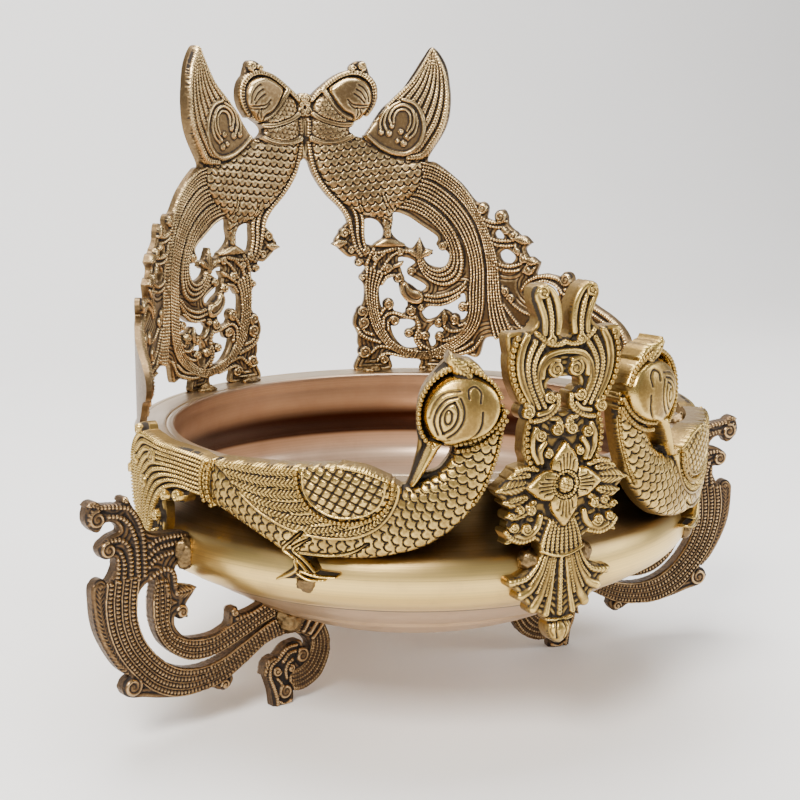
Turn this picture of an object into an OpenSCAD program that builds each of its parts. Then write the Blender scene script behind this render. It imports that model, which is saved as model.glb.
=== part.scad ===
// Brass urli: a wide turned bowl on three scrolled legs, with a pair of peacock panels standing on the
// back of its rim, a pair of swans along its front and a flower crest between them.
// Millimetres. +Z is up, Z = 0 is the surface it stands on, the crest faces -Y, the peacocks are at +Y.
// Castings are drawn flat: u runs along the rim, v is the height above the rim, then they are bent round.

/* [Bowl] */
// Height of the rim above the surface that the feet stand on
rim_h = 204; // [196:1:212]
// Radius of the mouth, at the inner edge of the rim
mouth_r = 185; // [183:0.5:187]
// Radius of the outer edge of the flat rim
rim_r = 215; // [212:0.5:217]
// Thickness of the flat rim
rim_t = 4; // [3:0.5:6]
// Thickness of the bowl's wall
wall = 3.5; // [2.5:0.5:5]
// Radius of the flat round floor inside the bowl
floor_r = 80; // [60:1:84]
// Depth of the underside of the base below the rim
base_depth = 146; // [144:0.5:150]

/* [Peacocks] */
// Radius of the face of the peacock panels, which looks towards the bowl
peacock_face_r = 205; // [200:0.5:208]
// Thickness of the peacock panels
peacock_t = 8; // [5:0.5:10]
// Number of flat stretches that each bent panel is made of
peacock_bends = 7; // [5:1:9]

/* [Swans] */
// Radius of the back of the swans
swan_back_r = 212; // [208:0.5:214]
// Thickness of the swans
swan_t = 13; // [8:0.5:14]
// Radius of the swans' round heads
swan_head_r = 22; // [16:0.5:24]
// Number of flat stretches that each bent swan is made of
swan_bends = 7; // [6:1:10]

/* [Crest] */
// Distance of the crest's back from the bowl's axis
crest_back = 211; // [208:0.5:213]
// Thickness of the crest's plate
crest_t = 13; // [8:0.5:14]
// How far the four-petalled flower stands out of the crest
flower_rise = 6; // [3:0.5:8]

/* [Legs] */
// Thickness of the legs
leg_t = 12; // [8:0.5:14]
// Angle by which the left leg stands in front of the bowl's centre line
left_leg_forward = 14; // [8:1:18]
// Angle by which the right leg stands in front of the bowl's centre line
right_leg_forward = 6; // [4:1:14]

/* [Brazing] */
// Radius of the brazing metal where a leg meets the shoulder
shoulder_braze_r = 14; // [10:0.5:16]
// Radius of the brazing metal below the right swan's tail, where the right leg meets the shoulder
right_shoulder_braze_r = 12.5; // [10:0.5:13]
// Radius of the brazing metal where a leg meets the underside
under_braze_r = 15; // [10:0.5:18]
// Radius of the brazing metal under the peacocks' and behind the swans' joints
pad_r = 13; // [9:0.5:15]

/* [Hidden] */

leg_reach = 294.5;
crest_reach = crest_back + crest_t + flower_rise;
axis_y = (crest_reach - leg_reach) / 2;
peacock_back_r = peacock_face_r + peacock_t;
peacock_mid_r = peacock_face_r + peacock_t / 2;
swan_mid_r = swan_back_r + swan_t / 2;
left_leg_a = 180 + left_leg_forward;
right_leg_a = -right_leg_forward;
back_leg_a = 90;
lap = 0.6;
far = 400;
smooth = 3;

yellow_brass = [0.80, 0.66, 0.38];
aged_brass = [0.62, 0.50, 0.30];
brown_brass = [0.50, 0.38, 0.25];
braze_metal = [0.40, 0.36, 0.25];

// A point on the smooth curve from b to c, whose neighbours are a and d.
function curve_point(a, b, c, d, t) =
  let (m0 = 0.36 * (c - a), m1 = 0.36 * (d - b))
  (2 * t ^ 3 - 3 * t ^ 2 + 1) * b + (t ^ 3 - 2 * t ^ 2 + t) * m0 +
  (3 * t ^ 2 - 2 * t ^ 3) * c + (t ^ 3 - t ^ 2) * m1;

// A closed smooth outline through the points p.
function smooth_loop(p, steps = 2) =
  let (n = len(p))
  [for (i = [0 : n - 1]) for (k = [0 : steps - 1])
    curve_point(p[(i + n - 1) % n], p[i], p[(i + 1) % n], p[(i + 2) % n], k / steps)];

// An open smooth line through the points p.
function smooth_line(p, steps) =
  let (n = len(p))
  concat(
    [for (i = [0 : n - 2]) for (k = [0 : steps - 1])
      curve_point(p[max(i - 1, 0)], p[i], p[i + 1], p[min(i + 2, n - 1)], k / steps)],
    [p[n - 1]]);

// The line p moved sideways by d, to the left of its direction.
function beside(p, d) =
  let (n = len(p))
  [for (i = [0 : n - 1])
    let (e = p[min(i + 1, n - 1)] - p[max(i - 1, 0)])
    p[i] + d * [-e[1], e[0]] / norm(e)];

// ---- Bowl: profile points are [radius, height above the rim] ----
neck_line = [[190, -rim_t], [189.5, -12], [190.5, -24], [196, -38], [207, -50]];
shoulder_line = [[207, -50], [213, -56], [216.5, -67], [215, -77], [208, -86], [196, -93.5]];
body_line = [[196, -93.5], [182, -101.5], [167, -110.5], [150, -119.5]];
dish_line = [[149, -121.5], [130, -131.5], [109, -140], [88, -base_depth]];
outer_line = concat(
  smooth_line(neck_line, smooth), smooth_line(shoulder_line, smooth),
  smooth_line(body_line, smooth), smooth_line(dish_line, smooth));
inner_line = beside(outer_line, -wall);
floor_v = -base_depth + wall;

module bowl_section() {
  inside = [for (p = inner_line) if (p[0] > floor_r + 2 && p[1] < -rim_t - 2 && p[1] > floor_v) p];
  polygon(concat(
    [[mouth_r, 0], [rim_r, 0], [rim_r, -rim_t]], outer_line, [[0, -base_depth], [0, floor_v], [floor_r, floor_v]],
    [for (i = [len(inside) - 1 : -1 : 0]) inside[i]], [[mouth_r, -rim_t - 2]]));
}

module placed() {
  translate([0, axis_y, rim_h]) children();
}

module bowl() {
  color(yellow_brass) placed() rotate_extrude($fn = 180) bowl_section();
}

// The bowl filled in, which shapes every face that is fitted against it.
module bowl_filled() {
  rotate_extrude($fn = 180)
    polygon(concat([[0, 0], [rim_r, 0], [rim_r, -rim_t]], outer_line, [[0, -base_depth]]));
}

// ---- Legs: points are [radius, height above the rim] ----
leg_outline = [
  [200, -64], [212, -54.5], [222, -52], [233, -51], [245, -48], [251, -38], [257, -28], [261, -22], [266, -24],
  [272, -27], [282, -22.5], [291, -21], [294.5, -31], [290, -39], [284, -41.5], [279, -36], [272, -37],
  [268, -43], [277, -46], [285, -53], [281, -61], [272, -62], [273, -70], [279, -78], [290, -78],
  [291, -92], [288, -110], [283, -124], [273, -140], [263, -149], [270, -157], [264, -165],
  [252, -168], [238, -172], [216, -176], [197, -174.5], [189, -178], [181, -179], [176, -173],
  [176, -168], [162, -160], [146, -151], [133, -148], [120, -149.5], [111, -155], [106, -162],
  [109, -167], [114, -157], [126, -157.5], [137, -165], [145, -169], [146, -178], [142, -191],
  [138, -207], [124, -207], [121, -194], [110, -195], [97, -188], [88, -174], [87, -160], [93, -146],
  [100, -137], [108, -130], [142, -112], [151, -120.5], [168, -124], [172, -118], [178, -121],
  [180, -130], [191, -134], [205, -134], [217, -131], [225, -121], [224, -113], [214, -117],
  [216, -108], [208, -97], [221, -95], [224, -86], [223, -77], [214, -75], [204, -84], [192, -80]
];
leg_slot = [
  [241, -84], [249, -86], [255, -94], [256, -113], [249, -128], [236, -144], [220, -153.5],
  [202, -157], [187, -155.5], [169, -148], [151, -139.5], [139, -134], [154, -137], [173, -143],
  [194, -149], [216, -147], [233, -136], [241, -123], [242, -109], [240, -95]
];

module leg_shape() {
  difference() {
    polygon(smooth_loop(leg_outline));
    polygon(smooth_loop(leg_slot));
    translate([0, -rim_h - 20]) square([far, 20]);
  }
}

module leg_plate(angle) {
  rotate([0, 0, angle]) rotate([90, 0, 0])
    translate([0, 0, -leg_t / 2]) linear_extrude(leg_t) leg_shape();
}

module leg_at(angle) {
  color(brown_brass) placed() difference() {
    leg_plate(angle);
    bowl_filled();
  }
}

module leg_left() { leg_at(left_leg_a); }
module leg_right() { leg_at(right_leg_a); }
module leg_back() { leg_at(back_leg_a); }

// A lump of brazing metal on both faces of a leg, at radius r and height v.
module leg_braze(angle, r, v, size) {
  color(braze_metal) placed() difference() {
    rotate([0, 0, angle]) translate([r, 0, v]) sphere(r = size, $fn = 48);
    bowl_filled();
    rotate([0, 0, angle]) translate([0, -leg_t / 2, v - 2 * size]) cube([far, leg_t, 4 * size]);
  }
}

shoulder_braze_at = [214, -68];
right_shoulder_braze_at = [205, -88];
under_braze_at = [124, -134];

module leg_left_shoulder_braze() {
  leg_braze(left_leg_a, shoulder_braze_at[0], shoulder_braze_at[1], shoulder_braze_r);
}
module leg_right_shoulder_braze() {
  leg_braze(right_leg_a, right_shoulder_braze_at[0], right_shoulder_braze_at[1], right_shoulder_braze_r);
}
module leg_back_shoulder_braze() {
  leg_braze(back_leg_a, shoulder_braze_at[0], shoulder_braze_at[1], shoulder_braze_r);
}
module leg_left_under_braze() {
  leg_braze(left_leg_a, under_braze_at[0], under_braze_at[1], under_braze_r);
}
module leg_right_under_braze() {
  leg_braze(right_leg_a, under_braze_at[0], under_braze_at[1], under_braze_r);
}
module leg_back_under_braze() {
  leg_braze(back_leg_a, under_braze_at[0], under_braze_at[1], under_braze_r);
}

// ---- Peacock panels: points are [u, v], u from the middle of the back towards the side ----
peacock_outline = [
  [-3, 196], [-3, 221], [0, 225], [-3, 230], [-3, 243], [4, 246], [11, 243], [18, 251], [28, 259],
  [41, 263], [42, 270], [50, 274], [57, 270], [60, 262], [65, 252], [64, 240], [56, 228], [45, 220],
  [42, 214], [47, 209], [56, 209], [62, 220], [72, 234], [86, 246], [98, 263], [107, 277], [115, 286],
  [125, 275], [130, 258], [131, 230], [125, 211], [112, 189], [119, 186], [134, 175], [147, 162],
  [156, 152], [163, 152], [167, 146], [166, 137], [173, 136], [174, 143], [181, 146], [185, 140],
  [186, 133], [197, 124], [207, 118], [202, 112], [208, 103], [216, 101], [213, 90], [223, 92],
  [236, 90], [243, 95], [250, 90], [248, 82], [262, 74], [280, 66], [298, 58], [312, 52], [320, 42],
  [318, 30], [308, 25], [300, 14], [282, 0], [262, 0], [258, 18], [236, 22], [206, 26], [183, 31],
  [166, 30], [159, 13], [145, 15], [131, 12], [131, 0], [106, 0], [106, 8], [92, 10], [79, 12],
  [79, 0], [47, 0], [51, 16], [49, 25], [49, 34], [45, 42], [47, 52], [54, 61], [55, 76], [51, 84],
  [56, 93], [49, 97], [47, 103], [40, 103], [28, 115], [31, 123], [37, 131], [42, 136], [36, 145],
  [27, 154], [18, 165], [10, 175], [4, 187]
];
peacock_gaps = [
  [[56, 136], [66, 135], [72, 127], [71, 119], [64, 113], [56, 115], [55, 125]],
  [[81, 141], [93, 139], [107, 130], [121, 120], [120, 113], [130, 107], [132, 99], [125, 93],
    [114, 95], [109, 102], [117, 105], [110, 110], [105, 118], [98, 110], [90, 114], [80, 124]],
  [[86, 101], [95, 101], [101, 97], [95, 92], [95, 86], [102, 82], [111, 76], [106, 71], [99, 76],
    [92, 81], [89, 90]],
  [[69, 74], [74, 81], [85, 84], [87, 73], [94, 62], [92, 52], [84, 52], [79, 59], [74, 54], [70, 60]],
  [[145, 70], [147, 62], [149, 54], [143, 46], [129, 55], [120, 48], [112, 46], [108, 53], [118, 59],
    [133, 63]],
  [[81, 44], [98, 45], [101, 40], [96, 36], [99, 29], [105, 21], [92, 20], [82, 31]],
  [[120, 41], [127, 36], [120, 30], [120, 24], [116, 21], [113, 31], [115, 38]],
  [[173, 124], [177, 128], [182, 122], [177, 119]],
  [[178, 107], [185, 111], [193, 105], [189, 99], [181, 100]],
  [[210, 80], [222, 84], [234, 80], [236, 72], [222, 74]]
];

module peacock_shape() {
  intersection() {
    difference() {
      polygon(smooth_loop(peacock_outline));
      for (gap = peacock_gaps) polygon(smooth_loop(gap));
    }
    square([far, far]);
  }
}

// Cuts the flat children into n stretches and stands them round the axis. The face towards the
// axis is at radius r, and side is 1 for the back of the bowl and -1 for the front.
module bent(r, t, u_end, n, side) {
  mid_r = r + t / 2;
  step = u_end / n;
  for (i = [0 : n - 1]) {
    u = (i + 0.5) * step;
    rotate([0, 0, -side * u / mid_r * 180 / PI])
      translate([-u, side > 0 ? r + t : -r, 0])
        rotate([90, 0, 0]) linear_extrude(t) intersection() {
          children();
          translate([i * step - (i == 0 ? 0 : lap), -far / 2])
            square([step + (i == 0 ? lap : 2 * lap), far * 1.5]);
        }
  }
}

module peacock() {
  color(aged_brass) placed() bent(peacock_face_r, peacock_t, 322, peacock_bends, 1) peacock_shape();
}

module peacock_right() { peacock(); }
module peacock_left() { mirror([1, 0, 0]) peacock(); }

// A shallow pool of brazing metal on top of the rim, on both faces of a plate between r1 and r2.
module rim_pool(angle, r, r1, r2) {
  sink = 0.6 * pad_r;
  difference() {
    rotate([0, 0, angle]) translate([r, 0, -sink]) sphere(r = pad_r, $fn = 48);
    translate([0, 0, -far]) cylinder(r = far, h = far, $fn = 96);
    difference() {
      cylinder(r = r2, h = pad_r, $fn = 180);
      cylinder(r = r1, h = pad_r, $fn = 180);
    }
    difference() {
      cylinder(r = far, h = pad_r, $fn = 180);
      cylinder(r = rim_r, h = pad_r, $fn = 180);
    }
    difference() {
      cylinder(r = mouth_r, h = pad_r, $fn = 180);
      cylinder(r = mouth_r - 2 * pad_r, h = pad_r, $fn = 180);
    }
  }
}

peacock_feet_u = [62, 118];

module peacock_foot_braze() {
  color(braze_metal) placed() for (u = peacock_feet_u)
    rim_pool(90 - u / peacock_mid_r * 180 / PI, peacock_face_r, peacock_face_r - 0.5, peacock_back_r);
}

module peacock_right_foot_braze() { peacock_foot_braze(); }
module peacock_left_foot_braze() { mirror([1, 0, 0]) peacock_foot_braze(); }

// The seam of brazing metal behind the two peacocks' chests.
module peacock_joint_braze() {
  seam_r = 4;
  color(braze_metal) placed() intersection() {
    translate([0, peacock_back_r, 198]) cylinder(r = seam_r, h = 20, $fn = 32);
    translate([-far / 2, peacock_back_r, 0]) cube([far, far, far]);
  }
}

// ---- Swans: points are [u, v], u from the middle of the front towards the side ----
swan_outline = [
  [47, 54], [56, 66], [69, 75], [77, 85], [84, 81], [92, 71], [99, 56], [100, 40], [99, 27],
  [105, 4], [110, 1], [117, 2], [133, 8], [152, 11], [184, 9.5], [240, 9], [251, 3], [260, 9],
  [303, 10], [324, 9], [333, 18], [352, 8], [363, -10], [360, -34], [352, -52], [340, -67], [322, -73],
  [309, -65], [305, -52], [304, -40], [305, -31], [290, -31], [278, -27], [270, -20], [254, -22],
  [236, -29], [213, -39], [197, -45], [186, -52], [184, -60], [194, -69], [172, -67], [150, -62],
  [168, -60], [169, -51], [160, -49], [134, -48.5], [108, -44], [92, -37], [74, -21], [60, -2],
  [50, 21], [45, 40]
];
swan_gap = [[77, 30], [88, 24], [97, 10], [86, 11], [78, 21]];

module swan_shape() {
  difference() {
    polygon(smooth_loop(swan_outline));
    polygon(smooth_loop(swan_gap));
  }
}

swan_head_at = [72, 50];

module swan_plate() {
  bent(swan_back_r, swan_t, 366, swan_bends, -1) swan_shape();
}

module swan_head() {
  rotate([0, 0, -90 + swan_head_at[0] / swan_mid_r * 180 / PI])
    translate([swan_mid_r, 0, swan_head_at[1]]) sphere(r = swan_head_r, $fn = 48);
}

module swan_right() {
  color(aged_brass) placed() difference() {
    union() {
      swan_plate();
      swan_head();
    }
    bowl_filled();
    leg_plate(right_leg_a);
  }
}

module swan_left() {
  color(aged_brass) placed() mirror([1, 0, 0]) difference() {
    union() {
      swan_plate();
      swan_head();
    }
    bowl_filled();
  }
}

swan_rim_pool_u = [150, 225];
swan_foot_at = [176, -66];

module swan_rim_braze() {
  color(braze_metal) placed() for (u = swan_rim_pool_u)
    rim_pool(-90 + u / swan_mid_r * 180 / PI, swan_back_r - 4, swan_back_r - 0.5, far);
}

module swan_right_rim_braze() { swan_rim_braze(); }
module swan_left_rim_braze() { mirror([1, 0, 0]) swan_rim_braze(); }

// The lump of brazing metal under the swan's foot, on the shoulder of the bowl.
module swan_foot_braze() {
  a = -90 + swan_foot_at[0] / swan_mid_r * 180 / PI;
  color(braze_metal) placed() difference() {
    rotate([0, 0, a]) translate([swan_back_r + 1, 0, swan_foot_at[1] - 5]) sphere(r = 8, $fn = 48);
    bowl_filled();
    swan_plate();
  }
}

module swan_right_foot_braze() { swan_foot_braze(); }
module swan_left_foot_braze() { mirror([1, 0, 0]) swan_foot_braze(); }

// ---- Crest: one half of its outline, mirrored about its centre line ----
crest_half = [
  [3, 97], [6, 112], [8, 126], [15, 131], [25, 129], [25, 119], [21, 108], [27, 101], [36, 101],
  [44, 99], [42, 84], [40, 68], [35, 56], [28, 47], [29, 36], [31, 22], [29, 12], [38, 7], [50, -3],
  [44, -11], [39, -20], [42, -32], [39, -39], [22, -40], [13, -48], [20, -58], [37, -67], [30, -78],
  [20, -90], [9, -96], [9, -106], [5, -113]
];
crest_gap_half = [[10, 68], [12, 60], [8, 52], [4, 46]];

function both_halves(p) = concat(p, [for (i = [len(p) - 1 : -1 : 0]) [-p[i][0], p[i][1]]]);

module crest_shape() {
  difference() {
    polygon(smooth_loop(both_halves(crest_half)));
    polygon(smooth_loop(both_halves(crest_gap_half)));
  }
}

module crest_upright(depth, back) {
  translate([0, -back, 0]) rotate([90, 0, 0]) linear_extrude(depth) children();
}

flower_v = -3;
petal = 18;

module flower_shape() {
  for (a = [0 : 90 : 270])
    rotate(a) polygon(smooth_loop([[2, 0], [petal / 2, 11], [petal * 0.9, 10], [29, 0],
      [petal * 0.9, -10], [petal / 2, -11]], 4));
  circle(r = 10, $fn = 48);
}

module crest() {
  color(aged_brass) placed() difference() {
    union() {
      crest_upright(crest_t, crest_back) crest_shape();
      crest_upright(crest_t + flower_rise, crest_back) translate([0, flower_v]) flower_shape();
    }
    bowl_filled();
  }
}

module crest_rim_braze() {
  color(braze_metal) placed() for (a = [-94, -86])
    intersection() {
      rim_pool(a, crest_back - 3, far, far + 1);
      translate([-far / 2, -crest_back, 0]) cube([far, far, far]);
    }
}

module crest_shoulder_braze() {
  color(braze_metal) placed() difference() {
    for (x = [-20, 20]) translate([x, -crest_back - 3, -56]) sphere(r = 8, $fn = 48);
    bowl_filled();
    crest_upright(crest_t, crest_back) crest_shape();
  }
}

bowl();
leg_left();
leg_right();
leg_back();
peacock_left();
peacock_right();
swan_left();
swan_right();
crest();
leg_left_shoulder_braze();
leg_right_shoulder_braze();
leg_back_shoulder_braze();
leg_left_under_braze();
leg_right_under_braze();
leg_back_under_braze();
peacock_left_foot_braze();
peacock_right_foot_braze();
peacock_joint_braze();
swan_left_rim_braze();
swan_right_rim_braze();
swan_left_foot_braze();
swan_right_foot_braze();
crest_rim_braze();
crest_shoulder_braze();
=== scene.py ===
"""Looks of the brass urli: a turned bowl on three scrolled legs.

Peacocks, swans and a flower crest stand round its rim. Each casting is drawn flat, as relief, in millimetres:
u runs along it and v upwards from the top of the rim. It is then bent or turned into its place.
"""

import math

import bmesh
import bpy
import numpy as np
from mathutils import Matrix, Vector, noise


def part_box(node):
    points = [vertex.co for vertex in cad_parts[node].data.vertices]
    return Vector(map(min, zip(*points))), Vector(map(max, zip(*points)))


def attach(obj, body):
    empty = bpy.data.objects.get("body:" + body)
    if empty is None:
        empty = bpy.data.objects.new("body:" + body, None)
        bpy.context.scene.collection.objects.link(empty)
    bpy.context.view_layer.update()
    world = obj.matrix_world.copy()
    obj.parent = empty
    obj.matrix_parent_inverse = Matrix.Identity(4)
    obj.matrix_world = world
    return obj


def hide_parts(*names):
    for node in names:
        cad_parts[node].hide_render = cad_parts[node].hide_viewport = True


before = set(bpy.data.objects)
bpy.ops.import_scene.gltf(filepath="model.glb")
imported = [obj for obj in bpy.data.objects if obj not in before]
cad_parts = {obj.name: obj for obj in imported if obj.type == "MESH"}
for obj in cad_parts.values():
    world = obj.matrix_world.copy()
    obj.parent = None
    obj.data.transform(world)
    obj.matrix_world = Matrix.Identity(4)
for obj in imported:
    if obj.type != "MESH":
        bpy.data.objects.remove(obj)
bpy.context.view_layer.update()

MM = 0.001  # one millimetre, in metres
BODY = "root"
BOWL_LOW, BOWL_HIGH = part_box("bowl")
RIM_Z = BOWL_HIGH.z / MM  # height of the rim above the floor
AXIS_Y = (BOWL_LOW.y + BOWL_HIGH.y) / 2 / MM  # the bowl's axis


# ---- Drawing: castings are drawn flat, in millimetres, as heights over a grid ----

FAR = 99.0  # a distance farther than any reach
NO_METAL = 9.0  # the edge value of bare grid
ROUND_OFF = 2.5  # how far in from its edge a dome is rounded
BEAD_STAND = 1.6  # how far a bead's top stands above its rib, in bead radii


def smooth_path(points, step=1.0, closed=False):
    """A smooth curve through the rows of points, in steps of about step. Further columns go with it."""
    p = np.asarray(points, float)
    if closed:
        p = np.vstack([p[-1], p, p[0], p[1]])
    else:
        p = np.vstack([2 * p[0] - p[1], p, 2 * p[-1] - p[-2]])
    parts = []
    for a, b, c, d in zip(p[:-3], p[1:-2], p[2:-1], p[3:]):
        n = max(2, int(math.ceil(math.hypot(*(c - b)[:2]) / step)))
        t = np.linspace(0, 1, n, endpoint=False)[:, None]
        square = 2 * a - 5 * b + 4 * c - d
        cube = 3 * b - a - 3 * c + d
        parts.append(b + 0.5 * t * ((c - a) + t * (square + t * cube)))
    if not closed:
        parts.append(p[-2][None])
    return np.vstack(parts)


def curl(centre, radius, start, turns, width, eye):
    """A path from the rim of a circle, winding in to its centre. Negative turns wind clockwise."""
    n = max(6, int(abs(turns) * 14))
    t = np.linspace(0, 1, n)
    a = math.radians(start) + 2 * math.pi * turns * t
    r = radius * (1 - t) ** 0.8
    w = width + (eye - width) * t
    return np.column_stack([centre[0] + r * np.cos(a), centre[1] + r * np.sin(a), w])


class Drawing:
    """A casting drawn flat: edge is the distance outside its outline, height is measured from its back."""

    def __init__(self, u0, u1, v0, v1, cell, ground):
        self.cell = cell
        self.u = np.arange(u0, u1 + cell, cell)
        self.v = np.arange(v0, v1 + cell, cell)
        self.U, self.V = np.meshgrid(self.u, self.v)
        self.edge = np.full(self.U.shape, NO_METAL)
        self.height = np.full(self.U.shape, float(ground))
        self.ground = ground
        self.strings = []

    def window(self, lo, hi, reach):
        """The part of the grid within reach of a box."""
        i0 = max(int((lo[1] - reach - self.v[0]) / self.cell), 0)
        i1 = min(int((hi[1] + reach - self.v[0]) / self.cell) + 2, len(self.v))
        j0 = max(int((lo[0] - reach - self.u[0]) / self.cell), 0)
        j1 = min(int((hi[0] + reach - self.u[0]) / self.cell) + 2, len(self.u))
        return slice(i0, max(i1, i0)), slice(j0, max(j1, j0))

    def along(self, path, reach):
        """For the grid within reach of path: its window, distance off, length along and half width."""
        win = self.window(path[:, :2].min(0), path[:, :2].max(0), reach)
        U, V = self.U[win], self.V[win]
        off = np.full(U.shape, FAR)
        far = np.full(U.shape, FAR)
        run = np.zeros(U.shape)
        wide = np.full(U.shape, 1.0)
        i_base, j_base = win[0].start, win[1].start
        length = 0.0
        for a, b in zip(path[:-1], path[1:]):
            d = b[:2] - a[:2]
            size = math.hypot(*d)
            if size < 1e-6:
                continue
            part = self.window(np.minimum(a, b)[:2], np.maximum(a, b)[:2], reach)
            s = (slice(part[0].start - i_base, part[0].stop - i_base),
                 slice(part[1].start - j_base, part[1].stop - j_base))
            x, y = U[s] - a[0], V[s] - a[1]
            t = np.clip((x * d[0] + y * d[1]) / size ** 2, 0, 1)
            dx, dy = x - t * d[0], y - t * d[1]
            dist = np.hypot(dx, dy)
            near = dist < far[s]
            side = np.sign(d[0] * dy - d[1] * dx)
            far[s] = np.where(near, dist, far[s])
            off[s] = np.where(near, side * dist, off[s])
            run[s] = np.where(near, length + t * size, run[s])
            wide[s] = np.where(near, a[2] + t * (b[2] - a[2]), wide[s])
            length += size
        return win, off, run, wide, far

    def put(self, win, inside, height, over=False):
        """Lays metal on part of the grid: over what is there, or only where it stands higher."""
        old = self.height[win]
        self.height[win] = np.where(inside, height if over else np.maximum(old, height), old)

    def band(self, points, low, high, pattern=None, over=False, cut=True, step=1.0):
        """A rib of metal along a path whose third column is its half width, from low at its edges to high."""
        path = smooth_path(points, step)
        path[:, 2] = np.maximum(path[:, 2], 0.15)
        win, off, run, wide, far = self.along(path, path[:, 2].max() + 1)
        x = off / wide
        dome = np.sqrt(np.clip(1 - x * x, 0, 1))
        h = low + (high - low) * dome
        if pattern:
            h = h + pattern(run, off, wide, dome)
        self.put(win, far < wide, h, over)
        if cut:
            self.edge[win] = np.minimum(self.edge[win], far - wide)

    def off_outline(self, points):
        """Distance outside a closed outline, negative inside."""
        p = smooth_path(points, 2.0, True)
        far = np.full(self.U.shape, FAR)
        inside = np.zeros(self.U.shape, bool)
        q = np.roll(p, -1, axis=0)
        for a, b in zip(p[:, :2], q[:, :2]):
            d = b - a
            size2 = d @ d
            if size2 < 1e-9:
                continue
            if abs(d[1]) > 1e-9:
                rows = (self.v > min(a[1], b[1])) & (self.v <= max(a[1], b[1]))
                cross = a[0] + (self.v[rows] - a[1]) * d[0] / d[1]
                inside[rows] ^= self.u[None, :] < cross[:, None]
            win = self.window(np.minimum(a, b), np.maximum(a, b), 14)
            x, y = self.U[win] - a[0], self.V[win] - a[1]
            t = np.clip((x * d[0] + y * d[1]) / size2, 0, 1)
            far[win] = np.minimum(far[win], np.hypot(x - t * d[0], y - t * d[1]))
        return np.where(inside, -far, far)

    def plate(self, points):
        """Adds the metal inside an outline."""
        self.edge = np.minimum(self.edge, self.off_outline(points))

    def pierce(self, points):
        """Takes away the metal inside an outline."""
        self.edge = np.maximum(self.edge, -self.off_outline(points))

    def contour_ribs(self, pitch, rise):
        """Covers the ground with ribs that follow the outline."""
        wave = np.sqrt(np.clip(1 - (2 * ((self.edge / pitch) % 1.0) - 1) ** 2, 0, 1))
        self.height += rise * wave * (self.edge < 0)

    def form(self, points, low, high, full, pattern=0.0):
        """A swelling form inside an outline, rising from low at its edge to high at full inside it."""
        off = self.off_outline(points)
        x = np.clip(-off / full, 0, 1)
        h = low + (high - low) * np.sqrt(np.clip(1 - (1 - x) ** 2, 0, 1)) + pattern
        self.height = np.where(off < 0, h, self.height)
        self.edge = np.minimum(self.edge, off)

    def dome(self, points, centre, radii, low, high):
        """A smooth round swelling, trimmed to an outline."""
        off = self.off_outline(points)
        r2 = ((self.U - centre[0]) / radii[0]) ** 2 + ((self.V - centre[1]) / radii[1]) ** 2
        h = low + (high - low) * np.sqrt(np.clip(1 - r2, 0, 1))
        round_edge = np.sqrt(np.clip(-off / ROUND_OFF, 0, 1))
        self.height = np.where(off < 0, low + (h - low) * round_edge, self.height)
        self.edge = np.minimum(self.edge, off)

    def knob(self, centre, radius, low, high):
        """A round knob, with an engraved ring."""
        win = self.window(np.array(centre), np.array(centre), radius + 1)
        r = np.hypot(self.U[win] - centre[0], self.V[win] - centre[1])
        ring = 0.5 * np.exp(-((r - 0.55 * radius) / 0.45) ** 2)
        h = low + (high - low) * np.sqrt(np.clip(1 - (r / radius) ** 2, 0, 1)) - ring
        self.put(win, r < radius, h)
        self.edge[win] = np.minimum(self.edge[win], r - radius)

    def volute(self, centre, radius, start, turns, low, high):
        """A scroll end: a disc with a rib winding into its centre."""
        width, eye = 0.1 + 0.2 * radius, 0.5 + 0.24 * radius
        win = self.window(np.array(centre), np.array(centre), radius + 2)
        r = np.hypot(self.U[win] - centre[0], self.V[win] - centre[1])
        self.edge[win] = np.minimum(self.edge[win], r - radius)
        self.put(win, r < radius, low - 0.6)
        path = curl(centre, radius - width * 0.9, start, turns, width, eye)
        self.band(path, low - 0.3, high, step=0.8)

    def ribs(self, paths, low, high, pattern=None, over=False):
        """Several ribs alike."""
        for path in paths:
            self.band(path, low, high, pattern, over)

    def volutes(self, rows, low, high):
        """Several scroll ends, each given by its centre, radius, starting angle and turns."""
        for centre, radius, start, turns in rows:
            self.volute(centre, radius, start, turns, low, high)

    def cuts(self, paths, depth, half):
        """Several grooves alike."""
        for path in paths:
            self.engrave(path, depth, half)

    def beads(self, points, low, top, radius):
        """A border of separate round beads, which stand on a low rib up to top."""
        self.band([(u, v, radius * 0.8) for u, v in points], low, top - BEAD_STAND * radius, over=True)
        path = smooth_path(points, 1.0)
        self.strings.append((path, radius, top))

    def engrave(self, points, depth, half=0.45):
        """A fine groove cut along a path."""
        pts = [(p[0], p[1], half) for p in points]
        path = smooth_path(pts, 1.0)
        win, _, _, _, far = self.along(path, 3 * half)
        self.height[win] -= depth * np.exp(-(far / half) ** 2)


def notches(pitch, depth):
    """Cross cuts along a rib, which leave it beaded."""
    return lambda run, off, wide, dome: -depth * dome * np.abs(np.cos(np.pi * run / pitch)) ** 3


def slanted(pitch, depth, slope=1.0, groove=0.5):
    """Slanted cuts each side of a centre groove, as on a leaf or a feather."""
    def cut(run, off, wide, dome):
        lines = np.abs(np.cos(np.pi * (run + slope * np.abs(off)) / pitch)) ** 2
        return -depth * lines - groove * np.exp(-(off / 0.5) ** 2)
    return cut


def lengthwise(count, depth):
    """Grooves along a band, which split it into count ribs."""
    return lambda run, off, wide, dome: -depth * np.abs(np.cos(np.pi * count * (off / wide + 1) / 2)) ** 1.5


def both(*patterns):
    """Two or more patterns, one on top of another."""
    return lambda *a: sum(p(*a) for p in patterns)


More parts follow.
